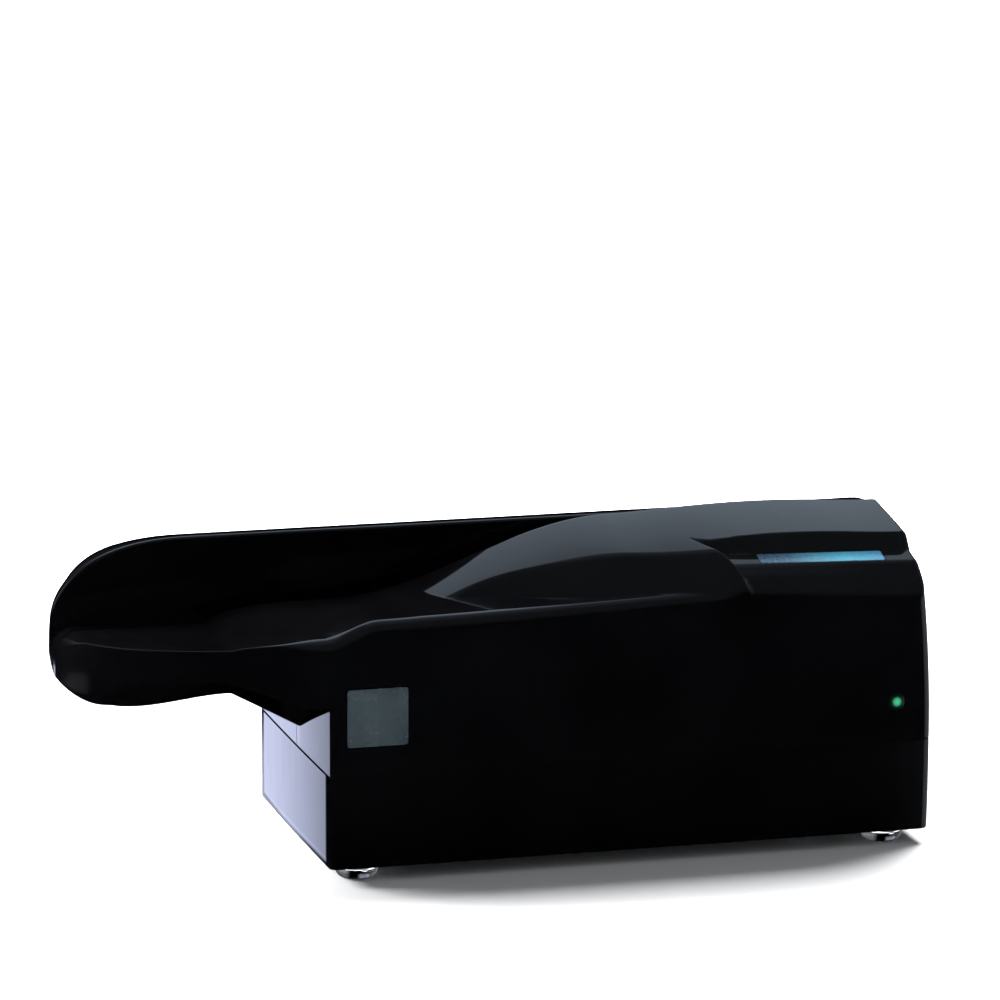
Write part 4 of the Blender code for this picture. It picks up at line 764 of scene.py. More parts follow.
# %% The front cover
head_left, head_right, head_low, head_high = 0.0068, 0.0056, 0.0484, 0.0576
glass_left, glass_right, glass_low, glass_high = 0.0616, 0.0672, 0.0482, 0.0554
shelf_thickness, through, hollow_detail = 0.002, 0.001, 0.4
shelf_under = shelf_height - shelf_thickness
front_shell = ring_solid("front_shell", bulged(cap_rings(
    front_rings(stations(), 0.0, front_half_back, top_low))))
hollow = front_rings(stations(wall, 0.3), wall, inner_back, top_low - overrun, hollow_detail)
carve(front_shell, [
    ring_solid("hollow", bulged(hollow)),
    block("below", (wall, inner_back - wall, top_low - overrun),
          (body_width - wall, slot_front + overrun, shelf_under - fit_gap)),
    block("badge_place", (badge_left, -overrun, badge_low),
          (badge_right, plate_thickness + fit_gap, badge_high)),
    ledge_block("label_place", recess_margin, -label_thickness - fit_gap, overrun),
    tube("light_place", (light_x, light_z), light_radius + recess_margin,
         (-overrun, wall + overrun)),
    window(left_station, drive_half, inner_back), window(right_station, drive_half, inner_back),
    block("head", (middle_x - head_left, inner_back - through, head_low),
          (middle_x + head_right, slot_front + through, head_high)),
    block("glass", (glass_left, inner_back - through, glass_low),
          (glass_right, slot_front + through, glass_high)),
    tube("sensor_eye", eye_place, eye_radius, (inner_back - overrun, slot_front + overrun))])
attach(front_shell, "housing")
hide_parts("front_cover")

# %% [markdown]
# The rear cover holds the pinch rollers and closes the machine to the back. It is made in the
# same way as the front cover, because both come from moulds of one kind and have to meet.

# %% The rear cover
rear_shell = ring_solid("rear_shell", bulged(cap_rings(
    rear_rings(stations(), 0.0, rear_half_front, slot_back, top_low))))
hollow = rear_rings(stations(wall, 0.3), wall, inner_wall, inner_wall + 2 * jump,
                    top_low - overrun, hollow_detail)
carve(rear_shell, [
    ring_solid("hollow", bulged(hollow)),
    block("below", (wall, rear_half_front - overrun, top_low - overrun),
          (body_width - wall, inner_wall + wall, shelf_under)),
    window(left_station, pinch_half, slot_back), window(right_station, pinch_half, slot_back),
    tube("sensor_eye", eye_place, eye_radius, (slot_back - overrun, inner_wall + overrun))])
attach(rear_shell, "housing")
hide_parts("rear_cover")

# %% [markdown]
# The tray is the machine's floor: a shallow box with round corners and a softened lower edge.
# A cube with two Bevel modifiers would come near, but the tray has to swell as the covers do,
# and that needs points along its sides. So its plan is a ring of many points, repeated from
# the lower edge to the seam.

# %% The base tray
foot_x, foot_y, foot_recess, foot_place_radius = 0.0071, 0.0062, 0.0005, 0.0048
screw_left, screw_right, screw_y, screw_radius = 0.0148, 0.022, 0.008, 0.0029
usb_left, usb_low, usb_width, usb_height = 0.026, 0.0066, 0.012, 0.0109
side_points, seam_row, seam_edge, seam_step = 26, 0.0002, 0.0001, 0.00003


def tray_ring(inset, level, detail=7):
    """Plan of the tray: four straight sides joined by quarter circles, the left one divided."""
    radius = max(corner_radius - inset / 2, corner_radius / 3)
    corners = ((inset, inset, 180), (body_width - inset, inset, 270),
               (body_width - inset, body_depth - inset, 0), (inset, body_depth - inset, 90))
    ring = []
    for x, y, start in corners:
        angle = np.radians(np.linspace(start, start + 90, detail))
        middle_of_arc = (x + math.copysign(radius, body_width / 2 - x),
                         y + math.copysign(radius, body_depth / 2 - y))
        ring.append(np.column_stack([middle_of_arc[0] + radius * np.cos(angle),
                                     middle_of_arc[1] + radius * np.sin(angle)]))
    side = np.linspace(body_depth - inset - radius, inset + radius, side_points)[1:-1]
    ring.append(np.column_stack([np.full(len(side), inset), side]))
    ring = np.concatenate(ring)
    return np.column_stack([ring, np.full(len(ring), level)])


def tray_solid(name, heights):
    """Rings of the tray's plan at pairs of (inset, height), swollen as the covers are."""
    return ring_solid(name, bulged([tray_ring(inset, level) for inset, level in heights]))


tray_high, bevel = seam_height - seam_gap / 2, corner_radius / 3
turn = np.linspace(0, math.pi / 2, 6)
heights = [(bevel * (1 - math.sin(a)), bevel * (1 - math.cos(a))) for a in turn[:-1]]
heights += [(0.0, z) for z in np.linspace(bevel, tray_high - seam_row, 12)]
heights += [(0.0, tray_high - seam_edge), (seam_step, tray_high - seam_step),
            (seam_edge, tray_high)]
tray_shell = tray_solid("tray_shell", heights)
cutters = [tray_solid("hollow", [(wall, z) for z in (wall, tray_high / 2, tray_high + overrun)]),
           block("usb_place", (usb_left - fit_gap, body_depth - 2 * wall, usb_low - fit_gap),
                 (usb_left + usb_width + fit_gap, body_depth + overrun,
                  usb_low + usb_height + fit_gap))]
for xs, ys, radius, top in (((foot_x, body_width - foot_x), (foot_y, body_depth - foot_y),
                             foot_place_radius, foot_recess),
                            ((screw_left, body_width - screw_right),
                             (screw_y, body_depth - screw_y), screw_radius, wall + overrun)):
    cutters += [turned_solid("hole", (x, y), ((radius, -overrun), (radius, top)))
                for x in xs for y in ys]
carve(tray_shell, cutters)
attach(tray_shell, "housing")
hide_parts("base_tray")

# %% [markdown]
# The camera stands left of the machine and a little above it, far away with a long lens, so
# that the upright lines stay upright. Its place could be found by dragging it about. Here it
# follows from two angles, a roll and a distance, which were worked out from the housing's
# edges in the picture.

# %% Camera
camera_turn, camera_rise, camera_roll = np.radians((15.675, 11.943, 0.239))
camera_distance, pixel_focus, picture_width = 1.166667, 5600, 1000
target = np.array((0.004742, -0.001, 0.071894))


def placed(across, upright, back, place):
    """The matrix of an object whose three axes and place are given."""
    matrix = np.eye(4)
    for column, part in enumerate((across, upright, back, place)):
        matrix[:3, column] = part
    return Matrix(matrix.tolist())


back = np.array((-math.sin(camera_turn) * math.cos(camera_rise),
                 -math.cos(camera_turn) * math.cos(camera_rise), math.sin(camera_rise)))
right = np.cross(-back, (0, 0, 1))
right /= np.linalg.norm(right)
up = np.cross(right, -back)
across = right * math.cos(camera_roll) + up * math.sin(camera_roll)
upright = up * math.cos(camera_roll) - right * math.sin(camera_roll)
camera = bpy.data.objects.new("camera", bpy.data.cameras.new("camera"))
camera.data.sensor_width = 36
camera.data.lens = pixel_focus * camera.data.sensor_width / picture_width
camera.matrix_world = placed(across, upright, back, target + back * camera_distance)
bpy.context.scene.collection.objects.link(camera)
bpy.context.scene.camera = camera
print("the lens is", round(camera.data.lens), "mm long")

# %% [markdown]
# Gloss black plastic shows nothing but what it mirrors, so the studio matters more than the
# colour. A room with lamps and white cards could be built around the machine. It is simpler to
# let the world's brightness depend on the direction: a soft light is then a product of fades
# along the direction's X, Y and Z.

# %% Words for the studio's lights
world = bpy.data.worlds.new("studio")
world.use_nodes = True
sky, sky_links = world.node_tree.nodes, world.node_tree.links
direction = sky.new("ShaderNodeSeparateXYZ")
sky_links.new(sky.new("ShaderNodeTexCoord").outputs["Generated"], direction.inputs[0])
range_sockets = ("From Min", "From Max", "To Min", "To Max")


def fade(axis, low, high, first, last):
    """Goes from the first strength to the last one between two heights of the direction."""
    step = sky.new("ShaderNodeMapRange")
    step.interpolation_type = "SMOOTHSTEP"
    for socket, value in zip(range_sockets, (low, high, first, last)):
        step.inputs[socket].default_value = value
    sky_links.new(direction.outputs[axis], step.inputs["Value"])
    return step.outputs["Result"]


def glow(tint, fades):
    """A light of one tint whose strength is the product of its fades."""
    strength = fade(*fades[0])
    for other in fades[1:]:
        step = sky.new("ShaderNodeMath")
        step.operation = "MULTIPLY"
        sky_links.new(strength, step.inputs[0])
        sky_links.new(fade(*other), step.inputs[1])
        strength = step.outputs[0]
    shown = sky.new("ShaderNodeBackground")
    shown.inputs["Color"].default_value = (*tint, 1)
    sky_links.new(strength, shown.inputs["Strength"])
    return shown.outputs[0]


def both(kind, first, second, share=None):
    """Two shaders added, or mixed by a share."""
    step = sky.new(kind)
    sky_links.new(first, step.inputs[-2])
    sky_links.new(second, step.inputs[-1])
    if share is not None:
        sky_links.new(share, step.inputs[0])
    return step.outputs[0]


print("the world has", len(sky), "nodes to start with")

# %% [markdown]
# Seven lights make the picture. A bright wall low behind the machine is what its left side
# mirrors, and a rim beside it lights that side's edges. A softer light high behind shows in the
# top of the hump and on the hood. The room above, a light at the left and the table's two ends
# are faint. In front it is dark, and so is the front face.

# %% The seven lights
cool, pale = (0.88, 1.0, 1.14), (0.95, 1.0, 1.06)
studio_lights = {
    "wall": ((0.93, 1.0, 1.36), (
        ("X", -0.31, -0.19, 0.0, 2.1), ("X", -0.194, -0.182, 1.0, 0.0),
        ("Y", 0.60, 0.75, 0.0, 1.0), ("Z", -0.30, -0.275, 0.0, 1.0),
        ("Z", -0.243, -0.236, 1.0, 0.0))),
    "high": ((0.82, 1.0, 1.20), (
        ("Z", 0.15, 0.40, 0.0, 0.62), ("Z", 0.66, 0.95, 1.0, 0.20),
        ("Y", -0.45, 0.10, 0.0, 1.0), ("X", -0.22, -0.07, 0.0, 1.0),
        ("X", 0.37, 0.45, 1.0, 0.2))),
    "rim": ((0.94, 1.0, 1.22), (
        ("X", -0.20, -0.18, 0.0, 1.0), ("X", 0.08, 0.20, 1.0, 0.0),
        ("Y", 0.85, 0.90, 0.0, 1.0), ("Z", -0.36, -0.32, 0.0, 1.0),
        ("Z", -0.252, -0.243, 1.0, 0.0))),
    "room": (cool, (("Z", 0.0, 0.5, 0.0, 0.10),)),
    "left": (cool, (("X", -0.80, -0.50, 0.6, 0.0), ("Z", 0.0, 0.25, 0.0, 1.0))),
    "table_right": (pale, (("X", 0.42, 0.60, 0.0, 0.6), ("Z", -0.10, 0.0, 1.0, 0.3))),
    "table_left": (pale, (
        ("X", -0.75, -0.50, 0.15, 0.0), ("Y", 0.10, 0.30, 0.0, 1.0),
        ("Z", -0.40, -0.26, 1.0, 0.0))),
}
glows = [glow(tint, fades) for tint, fades in studio_lights.values()]
mirrored = glows[0]
for other in glows[1:]:
    mirrored = both("ShaderNodeAddShader", mirrored, other)
print("lights:", ", ".join(studio_lights))

# %% [markdown]
# What a surface mirrors, what lights it and what the camera sees behind it needn't be the same.
# Matt surfaces get an even light, so that they don't take the lights' pattern, and the
# background is plain white. The Light Path node tells the three apart.

# %% The studio
even_strength, white = 0.32, (1, 1, 1, 1)
even, backdrop = sky.new("ShaderNodeBackground"), sky.new("ShaderNodeBackground")
even.inputs["Strength"].default_value = even_strength
backdrop.inputs["Color"].default_value = white
ray = sky.new("ShaderNodeLightPath").outputs
lit = both("ShaderNodeMixShader", mirrored, even.outputs[0], ray["Is Diffuse Ray"])
seen = both("ShaderNodeMixShader", lit, backdrop.outputs[0], ray["Is Camera Ray"])
sky_links.new(seen, sky["World Output"].inputs["Surface"])
bpy.context.scene.world = world
bpy.context.scene.view_settings.view_transform = "Standard"
print("the studio has", len(sky), "nodes")


# %% [markdown]
# Two large lamps, one at each side, give the soft shadow to the right of the machine and the
# light on its small matt parts. They are left out of reflections, because their square shapes
# would show in the gloss.

# %% Lamps
def soft_light(name, place, aim, size, watts):
    """A square lamp that faces a point and isn't seen in reflections."""
    lamp = bpy.data.lights.new(name, "AREA")
    lamp.size, lamp.energy = size, watts
    light = bpy.data.objects.new(name, lamp)
    away = np.array(place, float) - aim
    away /= np.linalg.norm(away)
    side = np.cross((0.0, 1.0, 0.0), away)
    side /= np.linalg.norm(side)
    light.matrix_world = placed(side, np.cross(away, side), away, place)
    light.visible_glossy = False
    bpy.context.scene.collection.objects.link(light)
    print(name, "stands", round(float(np.linalg.norm(place)), 2), "m away")


soft_light("left_light", (-0.85, 0.62, 0.62), (0, 0, 0), 0.6, 60)
soft_light("right_light", (0.50, 0.55, 1.10), (0, 0, 0), 0.7, 46)

# %% [markdown]
# The machine stands on a pale table, which is one large square here. The gloss doesn't mirror
# it, because the lights above already say what stands below and behind.

# %% Floor
floor_half = 6
floor_mesh = bpy.data.meshes.new("floor")
floor_mesh.from_pydata([(x * floor_half, y * floor_half, 0)
                        for x, y in ((-1, -1), (1, -1), (1, 1), (-1, 1))], [], [(0, 1, 2, 3)])
floor = bpy.data.objects.new("floor", floor_mesh)
bpy.context.scene.collection.objects.link(floor)
floor.visible_glossy = False
print("the floor is", 2 * floor_half, "m wide")


# %% [markdown]
# A finish is never one flat colour. Each one here mixes a second tone in slowly, varies its
# roughness as handling does, and has a fine relief: a moulded skin, a rolled sheet or a weave.
# Image textures could do this too, but noise that is worked out has no seams and no limit.

# %% How a finish is put together
class Finish:
    """One material, with short words for the nodes that it is made of."""

    def __init__(self, name, **sockets):
        self.material = bpy.data.materials.new(name)
        self.material.use_nodes = True
        self.nodes, self.links = self.material.node_tree.nodes, self.material.node_tree.links
        self.shader = self.nodes["Principled BSDF"]
        self.place = self.nodes.new("ShaderNodeTexCoord").outputs["Object"]
        for socket, value in sockets.items():
            self.shader.inputs[socket.replace("_", " ")].default_value = value

    def node(self, kind, settings=(), **inputs):
        """A new node, with its settings and with values or links for its sockets."""
        made = self.nodes.new("ShaderNode" + kind)
        for key, value in dict(settings).items():
            setattr(made, key, value)
        for key, value in inputs.items():
            self.set(made.inputs[key.replace("_", " ")], value)
        return made

    def set(self, socket, value):
        """Links a socket to another one, or sets it to a value."""
        if isinstance(value, bpy.types.NodeSocket):
            self.links.new(value, socket)
        else:
            socket.default_value = value

    def noise(self, scale, detail=3.0, roughness=0.55, stretch=None):
        """Noise from 0 to 1, drawn out along the axes where a stretch is given."""
        place = self.place
        if stretch:
            place = self.node("Mapping", Vector=self.place, Scale=stretch).outputs[0]
        return self.node("TexNoise", Vector=place, Scale=scale, Detail=detail,
                         Roughness=roughness).outputs["Fac"]

    def level(self, source, low, high, start=0.35, end=0.65):
        """A texture's middle range spread between two values."""
        made = self.node("MapRange", Value=source)
        for socket, value in zip(range_sockets, (start, end, low, high)):
            made.inputs[socket].default_value = value
        return made.outputs["Result"]

    def tones(self, share, first, second):
        """Two colours mixed by a share."""
        made = self.nodes.new("ShaderNodeMix")
        made.data_type = "RGBA"
        self.set(made.inputs[0], share)
        for socket, tone in ((made.inputs[6], first), (made.inputs[7], second)):
            self.set(socket, tone if isinstance(tone, bpy.types.NodeSocket) else (*tone, 1))
        return made.outputs[2]

    def relief(self, height, depth):
        """A bump as deep as given, in metres."""
        return self.node("Bump", Height=height, Distance=depth, Strength=1.0).outputs["Normal"]

    def wear(self, low=0.52, high=0.62):
        """Rises along convex edges, where hands and cloths rub."""
        return self.level(self.node("NewGeometry").outputs["Pointiness"], 0.0, 1.0, low, high)

    def distance(self, centre):
        """How far a point is from the centre."""
        away = self.node("VectorMath", {"operation": "DISTANCE"})
        self.set(away.inputs[0], self.place)
        away.inputs[1].default_value = centre
        return away.outputs["Value"]

    def paint(self, colour, roughness, normal=None):
        """Puts colour, roughness and relief on the shader and gives the material back."""
        for socket, value in (("Base Color", colour), ("Roughness", roughness), ("Normal", normal)):
            if value is not None:
                self.set(self.shader.inputs[socket], value)
        return self.material


words = [word for word in vars(Finish) if not word.startswith("_")]
print("a finish is put together with", ", ".join(words))


# %% [markdown]
# The housing is polished black plastic. A black colour with a low roughness would look like
# glass. What makes it plastic is what has settled on it: a faint swirl of wiping, a little
# dust, and edges that hands have rubbed. All of that is very weak, or the black turns grey.

# %% The gloss black of the housing
def gloss_black():
    """Black in two tones, dust from fine noise, rubbed edges, and roughness from a swirl."""
    coat = Finish("gloss_black_plastic", Specular_IOR_Level=0.5, IOR=1.5)
    dust = coat.level(coat.noise(1400, 2), 0.0, 0.10, 0.70, 0.78)
    wipe = coat.noise(260, 3, 0.6, (1, 1, 0.25))
    rubbed = coat.wear()
    colour = coat.tones(coat.level(coat.noise(45, 4), 0.0, 1.0),
                        (0.0008, 0.0008, 0.0011), (0.0016, 0.0016, 0.0020))
    colour = coat.tones(dust, colour, (0.03, 0.03, 0.03))
    colour = coat.tones(coat.level(rubbed, 0.0, 0.6, 0, 1), colour, (0.004, 0.004, 0.0045))
    rough = coat.node("Math", {"operation": "ADD"})
    coat.set(rough.inputs[0], coat.level(wipe, 0.03, 0.075))
    coat.set(rough.inputs[1], coat.level(rubbed, 0.0, 0.06, 0, 1))
    return coat.paint(colour, rough.outputs[0], coat.relief(coat.noise(170, 2), 0.0000015))


finishes = {"gloss_black": gloss_black()}
print("the gloss black has", len(finishes["gloss_black"].node_tree.nodes), "nodes")


# %% [markdown]
# Inside are moulded plastics, drawn and rolled metals, and clear parts. Every one could have a
# material of its own. They differ mainly in tone, gloss and grain, so three recipes are enough:
# a grain for plastic, long fine lines for metal, flow lines for what is clear.

# %% Plastic, metal and clear plastic
def plastic(name, first, second, rough, grain=700, depth=0.00002, **sockets):
    """Moulded plastic: two near tones, a spark-eroded grain and uneven gloss."""
    coat = Finish(name, **sockets)
    colour = coat.tones(coat.level(coat.noise(90, 4), 0.0, 1.0), first, second)
    rub = coat.level(coat.noise(300, 4), rough - 0.06, rough + 0.08)
    return coat.paint(colour, rub, coat.relief(coat.noise(grain, 4), depth))


def metal(name, first, second, rough, stretch=(1, 1, 0.05), depth=0.000002):
    """Drawn or rolled metal: long fine lines, with duller patches."""
    coat = Finish(name, Metallic=1.0)
    lines = coat.noise(2600, 3, 0.6, stretch)
    colour = coat.tones(coat.level(coat.noise(120, 4), 0.0, 1.0), first, second)
    return coat.paint(colour, coat.level(lines, rough - 0.07, rough + 0.12),
                      coat.relief(lines, depth))


def clear(name, tint, rough=0.03, weight=1.0, ior=1.49):
    """Clear moulded plastic with a few flow lines and a finger-marked skin."""
    coat = Finish(name, Transmission_Weight=weight, IOR=ior)
    brighter = tuple(min(1.0, tone * 1.04) for tone in tint)
    colour = coat.tones(coat.level(coat.noise(60, 2), 0.0, 1.0), tint, brighter)
    return coat.paint(colour, coat.level(coat.noise(220, 3), rough, rough + 0.06),
                      coat.relief(coat.noise(150, 1), 0.00001))


finishes.update({
    "inner_black": plastic("inner_black_plastic", (0.016, 0.016, 0.018), (0.026, 0.026, 0.028),
                           0.45),
    "steel": metal("turned_steel", (0.58, 0.58, 0.60), (0.66, 0.66, 0.67), 0.25),
    "spring_steel": metal("spring_strip", (0.44, 0.44, 0.46), (0.55, 0.54, 0.54), 0.30,
                          (0.05, 1, 1)),
    "bronze": metal("sintered_bronze", (0.50, 0.32, 0.14), (0.60, 0.40, 0.19), 0.42, (1, 1, 1)),
    "white_nylon": plastic("white_nylon", (0.78, 0.77, 0.71), (0.84, 0.83, 0.78), 0.42, 500,
                           0.00001, Subsurface_Weight=0.08, Subsurface_Scale=0.001),
    "grey_rubber": plastic("grey_rubber", (0.075, 0.075, 0.08), (0.11, 0.11, 0.115), 0.80,
                           1500, 0.00004),
    "clear_rubber": clear("clear_foot", (0.93, 0.95, 0.96), 0.04),
    "clear_acrylic": clear("red_window", (0.55, 0.05, 0.08), 0.04, 0.7),
    "board_green": plastic("circuit_board", (0.015, 0.13, 0.055), (0.02, 0.18, 0.08), 0.35, 900,
                           0.00001),
    "chip_black": plastic("chip_case", (0.02, 0.02, 0.022), (0.032, 0.032, 0.034), 0.50, 1800,
                          0.00001),
    "badge_grey": plastic("badge_enamel", (0.019, 0.031, 0.038), (0.031, 0.047, 0.055), 0.24,
                          900, 0.000005),
    "felt_grey": plastic("felt", (0.30, 0.30, 0.31), (0.42, 0.42, 0.43), 0.92, 2200, 0.0002),
})
print("finishes so far:", len(finishes))


# %% [markdown]
# The label is a glossy strip whose colour runs from navy at its left end to a bright cyan. An
# image could give this, but a Color Ramp along X gives the same run of tones with nothing to
# load. Fine noise breaks it up, as a printer's dots do.

# %% The label's run of tones
def label_tone_run(left, right):
    """A ramp of tones between two places along X, with fine dots and a smooth skin."""
    coat = Finish("label_run_of_tones", Specular_IOR_Level=0.5, IOR=1.5)
    along = coat.node("SeparateXYZ", Vector=coat.place).outputs["X"]
    # The colour runs along X from navy at the left end to a bright cyan.
    ramp_node = coat.node("ValToRGB", Fac=coat.level(along, 0.0, 1.0, left, right))
    ramp = ramp_node.color_ramp
    tones = ((0.0, (0.003, 0.010, 0.028)), (0.24, (0.012, 0.034, 0.07)),
             (0.42, (0.025, 0.11, 0.16)), (0.70, (0.03, 0.18, 0.26)), (1.0, (0.03, 0.12, 0.22)))
    while len(ramp.elements) < len(tones):
        ramp.elements.new(0.5)
    for stop, (share, tone) in zip(ramp.elements, tones):
        stop.position, stop.color = share, (*tone, 1)
    tone_run = coat.tones(coat.level(coat.noise(3000, 2), 0.0, 0.12),
                         ramp_node.outputs["Color"], (0.30, 0.50, 0.62))
    return coat.paint(tone_run, coat.level(coat.noise(240, 3), 0.07, 0.14),
                      coat.relief(coat.noise(400, 2), 0.000004))


finishes["label_blue"] = label_tone_run(label_left - centre_x, label_right - centre_x)
print("the label runs over", round((label_right - label_left) * 1000, 1), "mm")


# %% [markdown]
# The status light is a clear green lens over a small lamp. A lamp object behind it would need
# many samples for a spot of a few pixels. So the lens glows by itself, in its middle only.

# %% The lens of the status light
def round_light(centre, bright_radius):
    """Green inside the bright radius and nearly black outside, by the distance to the centre."""
    coat = Finish("green_light_pipe", Transmission_Weight=0.15, IOR=1.49)
    share = coat.level(coat.distance(centre), 0.0, 1.0, bright_radius * 0.5,
                       bright_radius * 1.4)
    colour = coat.tones(share, (0.05, 0.42, 0.20), (0.002, 0.010, 0.006))
    coat.set(coat.shader.inputs["Emission Color"], colour)
    coat.shader.inputs["Emission Strength"].default_value = 0.25
    return coat.paint(colour, coat.level(coat.noise(500, 3), 0.06, 0.14),
                      coat.relief(coat.noise(300, 1), 0.000004))


bright_radius = 0.0008
finishes["green_acrylic"] = round_light((light_x - centre_x, -centre_y, light_z + foot_height),
                                        bright_radius)
print("the lens is bright over", round(bright_radius * 2000, 1), "mm")


# %% [markdown]
# In the picture the table runs into a white background without a line. A white floor alone
# would be grey there, because it is lit from two sides only. A glow that grows with the
# distance from the machine lifts it to white, and leaves the shadow near the machine as it is.

# %% The table
def pale_floor():
    """A matt white that shines more, the further it is from the machine."""
    coat = Finish("pale_table")
    colour = coat.tones(coat.level(coat.noise(6, 3), 0.0, 1.0),
                        (0.86, 0.87, 0.88), (0.90, 0.90, 0.91))
    coat.set(coat.shader.inputs["Emission Color"], colour)
    coat.set(coat.shader.inputs["Emission Strength"],
             coat.level(coat.distance((0, 0, 0)), 0.0, 1.3, 0.16, 0.34))
    return coat.paint(colour, coat.level(coat.noise(40, 3), 0.7, 0.9))


floor.data.materials.append(pale_floor())
print("finishes:", len(finishes))

# %% [markdown]
# Every part of the frame names its finish, also the parts that nobody sees. They are painted in
# one go, so that none is forgotten. A new piece gets its finish, the body that it moves with,
# and the part that it stands for, by one helper.

# %% Paint every part of the frame
for name in sorted(nodes):
    coats = nodes[name].data.materials
    coats[0] = finishes[coats[0].name.split(".")[0]]
for piece in (front_shell, rear_shell, tray_shell):
    piece.data.materials.clear()
    piece.data.materials.append(finishes["gloss_black"])


def dress(piece, body, slot, replaced):
    """Gives a piece its finish, the body that it moves with and the node it stands for."""
    piece.data.materials.clear()
    piece.data.materials.append(finishes[slot])
    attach(piece, body)
    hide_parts(replaced)
    print(piece.name, "measures", np.round(np.ptp(points_of(piece), axis=0) * 1000, 1), "mm")


print("painted:", len(nodes), "parts and 3 shells")

# %% [markdown]
# The feet are clear domes with a flat sticky back. A UV sphere cut in half would have a pole
# below, where light gathers. So the dome is a profile turned round: it sinks as a sine while
# its radius draws in by a power, and it ends on a small flat.

# %% Feet
foot_radius, dome_draw, dome_power, rim_share = 0.0045, 0.42, 2.6, 0.985
arc = np.linspace(0, 1, 18)
radius = foot_radius * (1 - dome_draw * arc**dome_power)
height = -foot_height * np.sin(arc * math.pi / 2)
profile = [(foot_radius * rim_share, foot_recess - fit_gap), *zip(radius, height)][::-1]
for side, x in (("left", foot_x), ("right", body_width - foot_x)):
    for end, y in (("front", foot_y), ("rear", body_depth - foot_y)):
        foot = turned_solid("%s_%s_dome" % (end, side), (x, y), profile, 72, 60)
        dress(foot, "housing", "clear_rubber", "%s_%s_foot" % (end, side))


# %% [markdown]
# The plate in the front face is thin enamel with rounded corners, sunk almost flush. The label
# is a film of the same thickness on the ledge. A cube with a Bevel modifier would do for both,
# but the label has to lie along a slope. So both come from one function: an outline with
# quarter circles at its corners, raised, softened at its rim, and closed towards the middle.

# %% How a plate is shaped
least_radius = 0.00002


def rounded_plate(across, along, radius, steps=8):
    """Outline of a rectangle whose corners are quarter circles, centred on zero."""
    ring = []
    for sx, sy, start in ((1, 1, 0), (-1, 1, 90), (-1, -1, 180), (1, -1, 270)):
        angle = np.radians(np.linspace(start, start + 90, steps))
        ring.append(np.column_stack([sx * (across / 2 - radius) + radius * np.cos(angle),
                                     sy * (along / 2 - radius) + radius * np.sin(angle)]))
    return np.concatenate(ring)


def plate(name, size, radius, soft, origin, directions):
    """A plate of (across, along, thickness) in the plane of two of three directions."""
    (across, along, thickness), (first, second, normal) = size, directions
    turn = np.linspace(0, math.pi / 2, 6)
    rings = [(0.0, 0.0)]
    rings += [(soft * (1 - math.cos(a)), thickness - soft * (1 - math.sin(a))) for a in turn]
    rings += [(soft + (min(across, along) / 2 - soft) * s, thickness) for s in (0.3, 0.6, 0.97)]
    made = []
    for inset, level in rings:
        flat = rounded_plate(across - 2 * inset, along - 2 * inset,
                             max(radius - inset, least_radius))
        made.append(np.array(origin) + flat[:, :1] * first + flat[:, 1:] * second
                    + level * np.array(normal))
    return ring_solid(name, made)


print("a plate's outline has", len(rounded_plate(1, 1, 0.1)), "points")

# %% [markdown]
# The plate stands upright in the front face, so its directions are X, Z and straight forwards.
# The label follows the ledge: along it, up its slope, and away from it. Turning a finished
# object would do as well, but here the place has to be in the mesh itself.

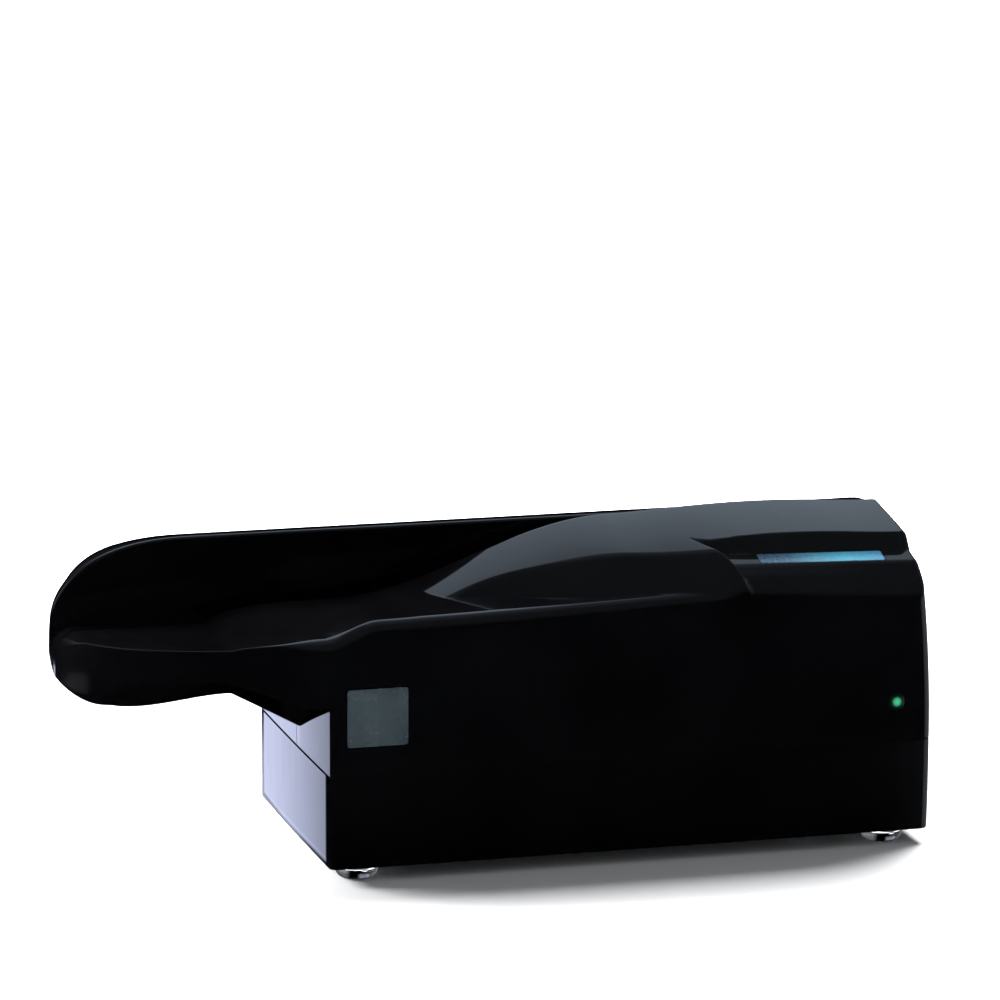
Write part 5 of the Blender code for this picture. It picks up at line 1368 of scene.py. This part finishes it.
# %% Plate and label
badge_corner, badge_soft, label_corner, label_soft = 0.0006, 0.00012, 0.0005, 0.0001
badge_size = (badge_right - badge_left - 2 * fit_gap, badge_high - badge_low - 2 * fit_gap,
              plate_thickness)
badge_place = ((badge_left + badge_right) / 2, plate_thickness + jump,
               (badge_low + badge_high) / 2)
badge = plate("badge_tile", badge_size, badge_corner, badge_soft, badge_place,
              (np.array((1.0, 0, 0)), np.array((0, 0, 1.0)), (0, -1.0, 0)))
dress(badge, "housing", "badge_grey", "badge_plate")
label_x, label_y = (label_left + label_right) / 2, (label_front + label_back) / 2
label_place = np.array((label_x, label_y, ledge_plane(label_x, label_y)))
label_along = np.array((1.0, 0, -ledge_tilt)) / math.hypot(1, ledge_tilt)
label_deep = (label_back - label_front) * math.hypot(1, ledge_slope)
label = plate("label_strip", (label_right - label_left, label_deep, label_thickness),
              label_corner, label_soft, label_place - ledge_up * label_thickness,
              (label_along, np.cross(ledge_up, label_along), ledge_up))
dress(label, "housing", "label_blue", "accent_label")

# %% [markdown]
# The lens is pushed into its hole from inside and held there by a collar. Its outer end is
# almost flat and just short of the front face. Two cylinders joined by a Boolean would do. One
# profile carried round an axis that points forwards gives collar, lens and soft rim at once.

# %% Status light
collar_radius, collar_back, collar_front = 0.0024, 0.0037, 0.0026
lens_profile = ((collar_radius, collar_back), (collar_radius, collar_front),
                (light_radius, collar_front), (light_radius, 0.0002),
                (light_radius * 0.97, 0.0001), (light_radius * 0.85, 0.00005),
                (light_radius * 0.4, 0.00005))
angle = whole_turn(48)
lens = ring_solid("light_lens", [
    np.column_stack([light_x + radius * np.cos(angle), np.full(48, y),
                     light_z + radius * np.sin(angle)]) for radius, y in lens_profile])
dress(lens, "housing", "green_acrylic", "status_light")

# %% [markdown]
# Three leaf springs press the pinch rollers and the magnetic head towards the slot. Each one is a
# flat strip, held at one end and pushed by an arm at the other. A rigid strip would cut
# through the arm when it swings. Here each is built as a straight strip of many short lengths,
# in the place of the part that it stands for.

# %% Leaf springs
spring_lengths = 40


def leaf_spring(name, node):
    """A strip between the housing, at the held place, and an arm, at the pushed one."""
    (x0, y0, z0), (x1, y1, z1) = (np.array(corner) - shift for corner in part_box(node))
    section = np.array(((y0, z0), (y1, z0), (y1, z1), (y0, z1)))
    strip = ring_solid(name, [np.column_stack([np.full(4, x), section])
                              for x in np.linspace(x0, x1, spring_lengths + 1)])
    strip.data.materials.append(finishes["spring_steel"])
    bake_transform(strip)
    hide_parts(node)
    print(name, "is", round((x1 - x0) * 1000, 1), "mm long and",
          round((y1 - y0) * 1000, 2), "mm thick")


for side, station in (("left", left_station), ("right", right_station)):
    leaf_spring("leaf_spring_" + side, "pinch_spring_" + side)
leaf_spring("leaf_spring_head", "head_spring")

# %% [markdown]
# The dressed machine's box has to agree with the CAD model's, because other scenes place the
# machine by that box.
